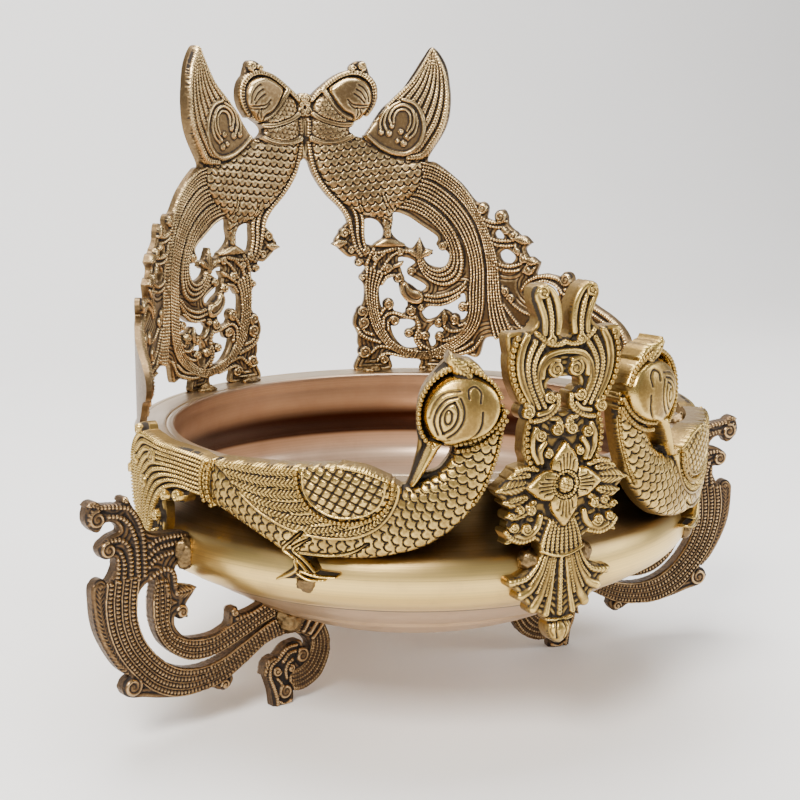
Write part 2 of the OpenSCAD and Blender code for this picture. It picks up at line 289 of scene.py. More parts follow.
def scales(run, off, pitch, width, depth=0.9, groove=0.75):
    """Overlapping round scales laid in staggered rows: run is along the rows' way, off is across it."""
    out = np.zeros(run.shape)
    done = np.zeros(run.shape, bool)
    radius = width * 0.56
    first = np.floor(run / pitch).astype(int) - 2
    for k in range(4):
        row = first + k
        a = run - row * pitch - pitch * 0.35
        b = (off / width + 0.5 * (row % 2)) % 1.0
        b = (b - 0.5) * width
        r = np.hypot(a, b)
        inside = (r < radius) | ((a < 0) & (np.abs(b) < radius * 0.98))
        take = inside & ~done
        rim = np.where(a > 0, radius - r, 9.0)
        lift = 0.35 * np.clip(a / pitch + 0.8, 0, 1.6) - depth * np.exp(-(np.clip(rim, 0, 9) / groove) ** 2)
        out = np.where(take, lift, out)
        done |= take
    return out


def softened(values, mask, radius):
    """values blurred over about radius cells, counting only the masked cells."""
    k = np.exp(-0.5 * (np.arange(-2 * radius, 2 * radius + 1) / radius) ** 2)
    k /= k.sum()

    def blur(a):
        for axis in (0, 1):
            pad = [(0, 0), (0, 0)]
            pad[axis] = (len(k) // 2, len(k) // 2)
            b = np.pad(a, pad)
            n = a.shape[axis]
            a = sum(w * b.take(range(i, i + n), axis) for i, w in enumerate(k))
        return a

    m = mask.astype(float)
    return blur(values * m) / np.maximum(blur(m), 1e-3)


# ---- Bowl: its outside in pieces, as radius and height from the rim, each downwards ----

NECK = [(190, -4), (189.5, -12), (190.5, -24), (196, -38), (207, -50)]
SHOULDER = [(207, -50), (213, -56), (216.5, -67), (215, -77), (208, -86), (196, -93.5)]
BODY_LINE = [(196, -93.5), (182, -101.5), (167, -110.5), (150, -119.5)]
DISH = [(149, -121.5), (130, -131.5), (109, -140), (88, -146)]
CREASE = (194.4, -94.8)
WALL = 3.5
FLANGE_IN, FLANGE_OUT = 185, 215  # radii of the flat rim
FLOOR_R = 80  # radius of the flat floor inside
RIM_GROOVES = (190, 211)  # radii of the two deeper grooves round the rim
LET_IN = 1.2  # how far castings are let into the bowl's outside


def bowl_profile():
    """The bowl's section, and which of its points are inside.

    It runs from the middle underneath up the outside, over the rim and down to the middle inside.
    """
    parts = [smooth_path(part[::-1], 3.0) for part in (DISH, BODY_LINE, SHOULDER, NECK)]
    outside = np.vstack([*parts[:2], [CREASE], *parts[2:]])
    line = np.vstack([np.gradient(outside[:, 0]), np.gradient(outside[:, 1])]).T
    line /= np.linalg.norm(line, axis=1)[:, None]
    inside = outside + WALL * np.column_stack([-line[:, 1], line[:, 0]])
    floor = DISH[-1][1] + WALL
    keep = (inside[:, 0] > FLOOR_R + 2) & (inside[:, 1] > floor) & (inside[:, 1] < -7)
    under = np.column_stack([np.linspace(0, 86, 16), np.full(16, DISH[-1][1])])
    rim = [(FLANGE_OUT - 0.6, -4), (FLANGE_OUT, -3.4), (FLANGE_OUT, -0.8), (FLANGE_OUT - 0.8, 0)]
    top = []
    for r in np.arange(FLANGE_OUT - 2, FLANGE_IN + 2, -1.25):
        groove = 0.22 * (math.cos(r * 2.51) > 0.55) + 0.5 * any(abs(r - at) < 0.7 for at in RIM_GROOVES)
        top.append((r, -groove))
    lip = [(FLANGE_IN + 1, 0), (FLANGE_IN, -0.9), (FLANGE_IN - 0.3, -4)]
    ground = np.column_stack([np.linspace(FLOOR_R, 0, 16), np.full(16, floor)])
    outer = np.vstack([under, outside, rim, top])
    inner = np.vstack([lip, inside[keep][::-1], ground])
    return np.vstack([outer, inner]), np.r_[np.zeros(len(outer)), np.ones(len(inner))]


OUTSIDE = np.array(DISH[::-1] + BODY_LINE[::-1] + SHOULDER[::-1] + NECK[::-1])


def bowl_radius(v):
    """The bowl's outside radius at a height, and far inside it above and below the bowl."""
    return np.interp(v, OUTSIDE[:, 1], OUTSIDE[:, 0], left=-99, right=-99)


# ---- Peacock panel: u from the middle of the back towards the side ----

PEACOCK_U = 3  # where the drawing puts the middle of the back
PEACOCK_CELL = 0.72
PEACOCK_OUTLINE = [
    (-3, 196), (-3, 221), (0, 225), (-3, 230), (-3, 243), (4, 246), (11, 243), (18, 251), (28, 259),
    (41, 263), (42, 270), (50, 274), (57, 270), (60, 262), (65, 252), (64, 240), (56, 228), (45, 220),
    (42, 214), (47, 209), (56, 209), (62, 220), (72, 234), (86, 246), (98, 263), (107, 277), (115, 286),
    (125, 275), (130, 258), (131, 230), (125, 211), (112, 189), (119, 186), (134, 175), (147, 162),
    (156, 152), (163, 152), (167, 146), (166, 137), (173, 136), (174, 143), (181, 146), (185, 140),
    (186, 133), (197, 124), (207, 118), (202, 112), (208, 103), (216, 101), (213, 90), (223, 92),
    (236, 90), (243, 95), (250, 90), (248, 82), (262, 74), (280, 66), (298, 58), (312, 52), (320, 42),
    (318, 30), (308, 25), (300, 14), (282, 0), (262, 0), (258, 18), (236, 22), (206, 26), (183, 31),
    (166, 30), (159, 13), (145, 15), (131, 12), (131, 0), (106, 0), (106, 8), (92, 10), (79, 12),
    (79, 0), (47, 0), (51, 16), (49, 25), (49, 34), (45, 42), (47, 52), (54, 61), (55, 76), (51, 84),
    (56, 93), (49, 97), (47, 103), (40, 103), (28, 115), (31, 123), (37, 131), (42, 136), (36, 145),
    (27, 154), (18, 165), (10, 175), (4, 187)]
PEACOCK_GAPS = [
    [(56, 136), (66, 135), (72, 127), (71, 119), (64, 113), (56, 115), (55, 125)],
    [(81, 141), (93, 139), (107, 130), (121, 120), (120, 113), (130, 107), (132, 99), (125, 93),
     (114, 95), (109, 102), (117, 105), (110, 110), (105, 118), (98, 110), (90, 114), (80, 124)],
    [(86, 101), (95, 101), (101, 97), (95, 92), (95, 86), (102, 82), (111, 76), (106, 71), (99, 76),
     (92, 81), (89, 90)],
    [(69, 74), (74, 81), (85, 84), (87, 73), (94, 62), (92, 52), (84, 52), (79, 59), (74, 54),
     (70, 60)],
    [(145, 70), (147, 62), (149, 54), (143, 46), (129, 55), (120, 48), (112, 46), (108, 53), (118, 59),
     (133, 63)],
    [(81, 44), (98, 45), (101, 40), (96, 36), (99, 29), (105, 21), (92, 20), (82, 31)],
    [(120, 41), (127, 36), (120, 30), (120, 24), (116, 21), (113, 31), (115, 38)],
    [(173, 124), (177, 128), (182, 122), (177, 119)],
    [(178, 107), (185, 111), (193, 105), (189, 99), (181, 100)],
    [(210, 80), (222, 84), (234, 80), (236, 72), (222, 74)],
]


def resampled(points, n=60):
    """n points spaced evenly along a smooth curve."""
    p = smooth_path(points, 1.0)
    d = np.concatenate([[0], np.cumsum(np.hypot(*np.diff(p[:, :2], axis=0).T))])
    t = np.linspace(0, d[-1], n)
    return np.column_stack([np.interp(t, d, p[:, i]) for i in range(p.shape[1])])


def between(guides, count, start=0.5):
    """count paths laid evenly across two guide lines, the first of them start spaces in."""
    a, b = (resampled(g) for g in guides)
    return [a + (b - a) * ((k + start) / count) for k in range(count)]


def spacing(guides, count):
    """The distance between neighbours of count paths across two guide lines."""
    a, b = (resampled(g) for g in guides)
    return np.hypot(*(b - a).T) / count


def sheaf(drawing, guides, count, low, high, pattern, fill=0.5):
    """A sheaf of ribs that fills the space between two guide lines."""
    half = spacing(guides, count) * fill
    for path in between(guides, count):
        drawing.band(np.column_stack([path, half]), low, high, pattern, over=True, step=2.0)


def corded_sheaf(drawing, guides, count, low, high, pattern):
    """Beaded ribs with a thin plain cord between each two and along both sides."""
    sheaf(drawing, guides, count, low, high, pattern, 0.36)
    cord = spacing(guides, count) * 0.13
    for path in between(guides, count, 0.0) + [resampled(guides[1])]:
        drawing.band(np.column_stack([path, cord]), low, high - 0.3, over=True, step=2.0)


TAIL_HOOK = (
    [(88, 146), (97, 144.5), (107, 141), (118, 134), (127, 126), (133, 117), (136, 107), (134.5, 98),
     (128, 92), (120, 92), (113.5, 97), (109.5, 104)],
    [(95, 157), (107, 154), (121, 146), (133, 135), (142, 121), (147, 107), (148, 94), (144, 82),
     (134, 76), (124, 77), (114, 83), (107.5, 93), (105, 102)])
TAIL_MIDDLE = (
    [(95, 157), (108, 155), (123, 147), (136, 135), (146, 120), (152, 104), (154, 88), (153, 72),
     (153.5, 58), (152, 47), (147, 37), (139, 29), (129, 22.5), (118, 17.5), (105, 17.5), (93, 20.5),
     (84, 26.5), (78, 35), (73, 47), (70.5, 60), (71, 74), (76, 87)],
    [(102, 173), (117, 170), (132, 161), (146, 148), (157, 132), (164, 113), (167.5, 94), (168, 78),
     (168, 62), (166, 48), (160, 35), (150, 25), (138, 17.5), (124, 11.5), (111, 9), (97, 12),
     (84, 17.5), (73.5, 26.5), (66, 38), (61.5, 52), (59, 66), (58.5, 80), (59, 94)])
TAIL_OUTER = (
    [(102, 173), (118, 171), (134, 162), (148, 149), (159, 133), (166, 114), (169.5, 96), (170, 80),
     (171, 62), (173, 46), (177, 31)],
    [(106, 188), (119, 185), (132, 178), (144, 169), (154, 157), (162, 144), (169, 131), (175, 117),
     (180, 100), (182, 84), (184, 68), (189, 52), (196, 36)])
PEACOCK_LOW, PEACOCK_HIGH = 4.6, 8.2  # heights of a rib's edges and of its top


def draw_peacock():
    """A peacock on scrollwork, whose tail arches over and curls in behind it."""
    d = Drawing(-6, 328, -1, 292, PEACOCK_CELL, 4.0)
    d.plate([(u + PEACOCK_U, v) for u, v in PEACOCK_OUTLINE])
    for gap in PEACOCK_GAPS:
        d.pierce([(u + PEACOCK_U, v) for u, v in gap])
    d.contour_ribs(3.6, 1.8)
    bead = notches(2.6, 1.2)
    for guides, count in ((TAIL_OUTER, 5), (TAIL_MIDDLE, 5), (TAIL_HOOK, 4)):
        sheaf(d, guides, count, PEACOCK_LOW - 0.6, PEACOCK_HIGH, bead)
    draw_outer_scrolls(d, bead)
    draw_scrolls_under_bird(d, bead)
    draw_chest_strands(d, bead)
    draw_peacock_body(d)
    draw_peacock_head(d, bead)
    draw_peacock_wing(d, bead)
    return d


def draw_outer_scrolls(d, bead):
    """The scrolls on the far side of the tail."""
    lo, hi = PEACOCK_LOW, PEACOCK_HIGH
    d.ribs([
        [(160, 143, 2), (166, 137.5, 2), (173, 134.5, 1.8), (181, 134.5, 1.6), (187, 136, 1.4)],
        [(163, 137, 1.6), (168, 132.5, 1.6), (176, 130.5, 1.5), (184, 130.5, 1.4)],
        [(167, 126, 1.8), (175, 119.5, 1.8), (186, 118.5, 1.7), (197, 120, 1.5), (203, 122, 1.2)],
        [(170, 120, 1.6), (177, 115, 1.6), (186, 114, 1.5), (195, 115, 1.4)],
        [(171, 106, 1.8), (179, 98.5, 1.8), (190, 96, 1.8), (200, 98.5, 1.6), (206, 102, 1.3)],
        [(175, 97, 1.6), (184, 92.5, 1.6), (193, 92, 1.5), (200, 93.5, 1.3)],
        [(203, 76, 1.8), (208, 83, 1.9), (217, 88, 2), (228, 89.5, 2), (239, 88, 1.9), (246, 83, 1.6)],
        [(206, 73, 1.5), (213, 81, 1.6), (225, 85.5, 1.6), (236, 83, 1.6), (243, 78, 1.5)],
        [(196, 120, 2.4), (190, 125, 2.6), (185, 130, 2.4)],
        [(205, 104, 2.4), (199, 109, 2.6), (196, 116, 2.2)],
        [(183, 62, 1.6), (187, 52, 1.6), (193, 42, 1.5), (202, 33, 1.4)],
        [(186, 62, 1.5), (193, 53, 1.5), (201, 44, 1.4), (212, 37, 1.2)],
        [(184, 78, 1.5), (190, 68, 1.6), (199, 60, 1.6), (210, 55, 1.5), (222, 55, 1.4)],
        [(246, 80, 2), (262, 74, 2), (281, 66, 2), (299, 59, 2), (313, 51, 2), (320, 41, 1.8),
         (316, 32, 1.6)],
        [(240, 78, 1.7), (258, 70, 1.8), (278, 61, 1.8), (296, 54, 1.8), (308, 47, 1.6), (312, 39, 1.5)],
        [(200, 28, 1.6), (220, 26, 1.7), (240, 25, 1.7), (258, 22, 1.6), (270, 14, 1.5), (280, 5, 1.4)],
        [(204, 33, 1.5), (222, 31, 1.6), (242, 31, 1.6), (260, 29, 1.5), (274, 22, 1.4)],
        [(236, 50, 1.6), (250, 46, 1.8), (264, 47, 1.8), (276, 42, 1.6), (284, 33, 1.4)],
    ], lo, hi - 0.3, bead)
    d.volutes([
        ((164.8, 146.6), 5.4, 200, 1.7), ((181.6, 139.8), 6, 250, 1.8), ((247.9, 88.6), 6.4, 200, 1.8),
        ((186.5, 127.5), 3.6, 120, 1.4), ((194, 123.5), 4.4, 60, -1.4), ((198, 110.7), 4, 100, 1.4),
        ((204, 103.6), 4.5, 60, -1.5), ((209, 94.6), 4.2, 90, 1.4), ((187, 73.7), 4.6, 270, 1.5),
        ((193, 67.5), 4.6, 180, -1.5), ((222, 60), 6.5, 200, 1.9), ((213, 45), 6.5, 90, -1.9),
        ((245, 62), 6.5, 270, 1.8), ((232, 41), 6, 0, 1.8), ((268, 60), 5.5, 120, -1.8),
        ((252, 36), 5.5, 200, 1.6), ((290, 45), 7, 60, 1.9), ((272, 33), 5, 300, -1.6),
        ((309, 33), 5.5, 180, 1.6), ((300, 24), 5.5, 90, -1.6), ((288, 14), 6, 0, 1.7),
    ], lo, hi + 0.2)
    d.ribs([
        [(197, 121, 2.5), (204, 119.5, 4.2), (211, 118, 0.5)],
        [(206, 103, 2.5), (212, 101.5, 4.2), (219, 101, 0.5)],
        [(205, 93, 2), (211, 92, 3), (216, 97, 0.5)],
    ], lo, hi + 0.6, slanted(2.2, 0.8, 1.0, 0.8))


def draw_scrolls_under_bird(d, bead):
    """The scrolls below the bird and inside the curl of its tail."""
    lo, hi = PEACOCK_LOW, PEACOCK_HIGH
    d.ribs([
        [(113, 67.6, 1.9), (123, 66.6, 2), (134, 69, 2), (143, 73.5, 2), (150, 80, 1.6)],
        [(112, 64, 1.7), (124, 62.4, 1.8), (135, 65, 1.8), (144, 70, 1.8), (150, 76, 1.4)],
        [(115, 59.3, 1.5), (126, 59, 1.5), (136, 62, 1.5), (144, 67, 1.3)],
        [(76, 87, 1.8), (82, 91, 1.8), (88, 95, 1.6), (91, 96.5, 0.8)],
        [(74, 78, 1.7), (79, 84.5, 1.7), (85, 86, 1.6), (89, 84, 1.4)],
        [(91, 87, 1.6), (93, 82, 1.8), (91.5, 77, 1.6)],
        [(73, 50, 1.8), (76, 55, 1.8), (80, 58.5, 1.6)],
        [(76, 38, 1.8), (76, 47, 1.8), (82, 51.5, 1.8), (90, 50, 1.8), (98, 47.5, 1.8), (105, 47, 1.6)],
        [(80, 36, 1.5), (80, 44, 1.5), (85, 47.5, 1.4)],
        [(104, 49, 1.8), (107, 43, 2.4), (108, 37, 2.8), (105.5, 32, 2), (105, 26, 1.8), (110, 19, 1.6)],
        [(110, 35, 1.5), (107.5, 29, 1.8), (110, 23, 1.8), (117, 18.5, 1.6)],
        [(127, 27, 1.6), (133, 27, 1.8), (142, 31, 1.8), (150, 37, 1.6)],
        [(130, 46, 1.6), (132, 39, 1.8), (138, 35.5, 1.8), (147, 37.5, 1.8), (152, 43, 1.6)],
        [(143, 47, 1.3), (145, 41, 1.6), (151, 44, 1.5)], [(152.5, 62, 1.6), (151, 55, 1.5)],
        [(100, 107, 2.2), (94, 107.5, 2.4), (88, 110, 2.4), (80, 108, 2.4), (72, 106, 2.2), (64, 106, 2)],
        [(52, 38, 2), (55, 33, 2.2), (62, 28.5, 2.2), (72, 25, 2)],
        [(54, 41, 1.7), (59, 34.5, 1.8), (66, 32, 1.8)],
        [(60, 11.5, 1.8), (65, 16, 1.8), (70, 20.5, 1.8), (76, 21, 1.8), (83, 19, 1.6)],
        [(70, 8, 1.6), (73.5, 13, 1.7), (80, 14.5, 1.7), (88, 13, 1.6), (97, 11, 1.5)],
        [(124, 11, 2), (134, 12, 2), (146, 15, 2), (158, 20, 2), (166, 31, 1.6)],
        [(132, 15, 1.8), (146, 19, 1.8), (157, 26, 1.8)], [(60, 96, 1.9), (63, 103, 2), (67, 110, 1.8)],
        [(66, 92, 1.8), (70, 100, 1.9), (77, 106, 1.8)],
        [(72, 88, 1.6), (77, 96, 1.8), (83, 103, 1.6), (88, 106, 1.4)],
    ], lo, hi - 0.2, bead)
    d.volutes([
        ((129, 112.6), 4.8, 60, -1.6), ((101, 89), 4.4, 0, 1.5), ((100.4, 53.3), 5.2, 90, -1.7),
        ((110, 56.4), 3.6, 60, 1.3), ((79.7, 92), 4.8, 200, -1.7), ((88.8, 83), 4.6, 90, -1.5),
        ((80, 59.5), 5.4, 270, 1.7), ((85.3, 44.6), 5.2, 180, -1.7), ((98.7, 32.8), 4.4, 0, 1.6),
        ((113.3, 30.4), 4.8, 200, -1.6), ((126.5, 30), 4.7, 0, 1.6), ((126, 42.4), 4.6, 60, 1.5),
        ((140, 46.6), 5.2, 250, 1.7), ((147.6, 57.8), 4.7, 0, 1.6), ((56.3, 53), 5.6, 300, 1.7),
        ((57, 43.4), 6, 270, 1.8), ((57, 84), 3.6, 0, 1.2), ((53.5, 97.6), 4, 0, 1.4),
        ((58.5, 17), 6.4, 200, 1.8), ((75.8, 9), 4.8, 120, -1.6), ((40, 124), 5.2, 0, 1.5),
        ((46.5, 109), 4.4, 0, 1.4), ((59, 108), 4.4, 90, -1.4), ((90.5, 107.6), 4.4, 200, 1.5),
        ((68, 101), 3.8, 0, 1.3),
    ], lo, hi + 0.2)
    fleur = [
        [(108, 100, 2.4), (108, 108, 3.8), (108, 119, 0.5)],
        [(110, 103, 2), (115, 106, 3.6), (119, 107.5, 1)],
        [(106, 103, 2), (102, 106, 3.2), (98, 107, 1.4)],
        [(131, 43, 2), (131.5, 48, 3.4), (130.5, 55, 0.5)],
        [(40, 116, 2.5), (35, 115, 4), (29, 114.5, 0.6)],
        [(86, 94, 2), (90, 95.5, 2.6), (93.5, 98, 0.5)],
    ]
    d.ribs(fleur, lo, hi + 0.4, slanted(2.4, 0.6, 1.0, 0.7))
    d.form([(92, 79), (96, 80), (99, 76), (103, 73), (109, 71.5), (112.5, 66), (110, 60.5), (104, 59.5),
            (97, 62), (91.5, 68), (90, 74)], lo + 1, hi + 1.4, 3)
    d.engrave([(95, 76), (96, 70.5), (100, 66), (106, 64), (109.5, 66)], 1.1, 0.5)


def draw_chest_strands(d, bead):
    """The strands in front of the chest, and the joint at the neck."""
    lo, hi = PEACOCK_LOW, PEACOCK_HIGH
    d.ribs([
        [(7.2, 224, 2.6), (7, 212, 2.6), (7.2, 201, 2.6), (10.4, 185, 2.6), (16, 172.6, 2.6),
         (25.7, 159.6, 2.6), (36.5, 148.7, 2.5), (43.5, 138, 2.3), (46.5, 125, 2.2), (50, 112, 2.2),
         (55, 104, 2)],
        [(44, 150, 1), (49, 143, 2), (51.3, 133, 2.1), (51.6, 123, 2.1), (54, 112, 2), (59, 104, 1.8)],
        [(51, 147, 1), (55, 141, 1.8), (56.4, 133, 2), (56.4, 122, 2), (58.5, 112, 2), (63, 104, 1.8)],
    ], lo, hi, bead)
    d.volutes([
        ((4.5, 242), 4.6, 0, 1.6), ((5.2, 230.5), 5, 90, -1.6), ((0.5, 236.5), 3.4, 0, 1.2),
    ], lo, hi)


def draw_peacock_body(d):
    """The body and thighs under large scales, the neck under small ones, and the collars."""
    body = [
        (9, 222), (8.5, 210), (9.5, 198), (13, 184), (19, 173), (28, 161), (38, 151), (46, 147),
        (54, 141), (62, 139), (70, 137), (75.5, 134), (75.8, 126), (76.5, 117), (81.5, 117),
        (82.5, 126), (84, 134), (84.5, 142), (90, 147), (99, 155), (107, 164), (110, 176), (108, 188),
        (96, 190), (80, 194), (66, 202), (55, 208), (47, 210), (44, 215), (46, 224), (40, 232),
        (26, 246), (13, 240)]
    run = -d.V + 0.12 * d.U
    scaled = scales(run, d.U + 0.15 * d.V, 6.4, 7.2, 2.2, 1.0)
    small = scales(run + 2, d.U, 3.9, 4.6, 1.3, 0.55)
    above = d.V > 207 + 0.02 * (d.U - 20)
    d.form(body, 5.6, 11.2, 13, np.where(above, small, scaled))
    d.band([(77, 134, 3), (79.3, 128, 3), (79, 118, 3)], 6, 9, scale_band(4), over=True)
    d.form([(66, 113), (73, 118), (79, 120), (85, 118), (95, 113.5), (92, 111), (70, 111)], 5.5, 9, 4)
    d.cuts([
        [(51.5, 153), (53, 147), (56, 141)], [(54, 154), (55.5, 148), (58.5, 142)],
        [(73, 159), (76, 150), (81, 142)], [(76, 160), (79, 151), (84, 143.5)],
    ], 1.5, 0.55)
    d.band([(10, 228.5, 2.6), (17, 224.5, 2.6), (26, 221.5, 2.6), (36, 219.5, 2.6), (46, 219.5, 2.6)], 8.5,
           11.5, lengthwise(2, 1.4), over=True, cut=False)
    d.band([(8.5, 207.5, 2.8), (18, 204.6, 2.8), (28, 204.2, 2.8), (38, 206, 2.8), (48, 210, 2.6)], 9, 12,
           lengthwise(3, 1.4), over=True, cut=False)


def draw_peacock_head(d, bead):
    """The hood over the neck, and the head."""
    d.band([(9, 240, 1.6), (14, 245.5, 2.2), (22, 252, 2.4), (31, 258.5, 2.4), (40, 262.5, 2.4),
            (49, 264, 2.5), (58, 261.5, 2.8), (65, 255, 3), (67.2, 246, 3), (65.5, 237, 2.6), (60, 228, 2)],
           7, 10, both(bead, lengthwise(2, 0.9)), over=True)
    d.band([(20, 249, 2.4), (25, 242, 2.4), (31, 234, 2.4), (39, 227.5, 2.4), (47, 224.5, 2)], 9, 11.6,
           lengthwise(3, 1.2), over=True, cut=False)
    d.dome([(25, 249.5), (31, 255), (40, 259.5), (50, 260), (59, 256), (64, 248), (64, 239), (60, 231),
            (54, 224), (47.5, 222), (45, 227), (37, 231), (30, 239)], (46, 242), (25, 23), 8.2, 14.6)
    d.volutes((((47.4, 267.5), 3.4, 0, 1.2), ((55.6, 269.3), 4.8, 270, 1.6)), 6.5, 10)
    d.cuts([
        [(51, 254), (56, 251), (60, 245), (61, 239)], [(49, 250), (54, 247), (58, 241)],
        [(47, 246), (52, 243), (57, 238)], [(41, 241), (46, 237), (53, 236), (60, 236)],
        [(42, 238), (47, 234), (54, 233.5), (60, 234)], [(50, 234), (51, 230), (50, 226)],
        [(53, 232), (54, 228), (52, 225)],
    ], 1.5, 0.6)


def scale_band(pitch):
    """Scales laid along a rib."""
    return lambda run, off, wide, dome: scales(run, off, pitch, pitch * 1.1, 0.8)


def draw_peacock_wing(d, bead):
    """The raised wing: a sheaf of long feathers, with curls and knobs at its root."""
    wing = [
        (57, 208.5), (60.4, 211.5), (70, 226), (81, 238), (88.7, 246), (99.6, 256), (110.4, 271),
        (118, 285.5), (124.6, 277.5), (130.5, 266), (134, 250), (134.3, 233.5), (130.5, 216),
        (121.5, 201), (113.5, 190), (99.6, 188.5), (82, 192), (70, 198.5)]
    d.form(wing, 7.5, 9.4, 6)
    front_edge = [(60, 211), (70, 226), (81, 238), (89, 246.5), (100, 256.5), (110.5, 271), (117.5, 284.5)]
    rear_edge = [(100, 189), (113, 191), (121.5, 201.5), (130, 216.5), (133.8, 233.5), (133.5, 250),
                 (130, 266), (124.5, 277), (118.5, 285)]
    sheaf(d, (front_edge, rear_edge), 8, 7.4, 11.4, slanted(2.6, 0.9, 0.8, 0.7))
    d.band([(62, 213, 1.3), (72, 226, 1.4), (80, 236, 1.5), (89, 245, 1.6), (99.6, 255, 1.6),
            (110, 270, 1.5), (117.5, 283, 1.3)], 7.5, 10.6, bead, over=True)
    d.form([(58, 208), (70, 224), (80, 236), (92, 241.5), (103, 238), (110, 228), (112, 216), (108, 203),
            (98, 193.5), (84, 193), (70, 199.5)], 8.6, 10.2, 8)
    d.band([(60, 210, 1.6), (71, 201, 2), (84, 195, 2.2), (97, 194.6, 2.2), (107, 202.5, 2.2),
            (111.5, 215, 2.1), (109.5, 228, 2), (103, 237.5, 1.8), (92, 241, 1.5)], 10, 11.8, over=True,
           cut=False)
    for path, high in (
            ([(82, 219, 1.2), (80, 226, 1.4), (84, 233, 1.5), (92, 236.5, 1.6), (100, 233, 1.6),
              (103, 225, 1.6), (101, 216, 1.5), (96, 210, 1.3)], 12.2),
            ([(84, 221, 1), (84.5, 227, 1.2), (88, 231.5, 1.2), (94, 232.5, 1.2), (98.5, 228.5, 1.2),
              (99, 221, 1.2), (96, 214, 1.1)], 12),
            ([(79, 212, 1.1), (75.5, 220, 1.3), (77, 228, 1.3), (82, 235, 1.2), (90, 239.3, 1)], 12),
            ([(73, 213, 1.1), (71.5, 220, 1.2), (74, 228, 1.1), (79, 234, 0.9)], 11.8),
            ([(104, 229, 1), (105.5, 221, 1.2), (103, 212, 1.2), (97, 206, 1.1)], 11.8)):
        d.band(path, 10, high, cut=False)
    for c, r in (((72.6, 212.6), 2.9), ((79.6, 211.8), 3.2), ((82.3, 217.8), 2.5), ((90.5, 213), 2.8),
                 ((93, 203), 3.2), ((95.5, 208.6), 2.6), ((87.5, 205), 2.4)):
        d.knob(c, r, 10, 12.8)


# ---- Leg: u is the distance from the bowl's axis, v is above the rim ----
LEG_CELL = 0.62
LEG_OUTLINE = [
    (200, -64), (212, -54.5), (222, -52), (233, -51), (245, -48), (251, -38), (257, -28), (261, -22),
    (266, -24), (272, -27), (282, -22.5), (291, -21), (294.5, -31), (290, -39), (284, -41.5),
    (279, -36), (272, -37), (268, -43), (277, -46), (285, -53), (281, -61), (272, -62), (273, -70),
    (279, -78), (290, -78), (291, -92), (288, -110), (283, -124), (273, -140), (263, -149), (270, -157),
    (264, -165), (252, -168), (238, -172), (216, -176), (197, -174.5), (189, -178), (181, -179),
    (176, -173), (176, -168), (162, -160), (146, -151), (133, -148), (120, -149.5), (111, -155),
    (106, -162), (109, -167), (114, -157), (126, -157.5), (137, -165), (145, -169), (146, -178),
    (142, -191), (138, -207), (124, -207), (121, -194), (110, -195), (97, -188), (88, -174), (87, -160),
    (93, -146), (100, -137), (108, -130), (142, -112), (151, -120.5), (168, -124), (172, -118),
    (178, -121), (180, -130), (191, -134), (205, -134), (217, -131), (225, -121), (224, -113),
    (214, -117), (216, -108), (208, -97), (221, -95), (224, -86), (223, -77), (214, -75), (204, -84),
    (192, -80)]
LEG_SLOT = [
    (241, -84), (249, -86), (255, -94), (256, -113), (249, -128), (236, -144), (220, -153.5),
    (202, -157), (187, -155.5), (169, -148), (151, -139.5), (139, -134), (154, -137), (173, -143),
    (194, -149), (216, -147), (233, -136), (241, -123), (242, -109), (240, -95)]


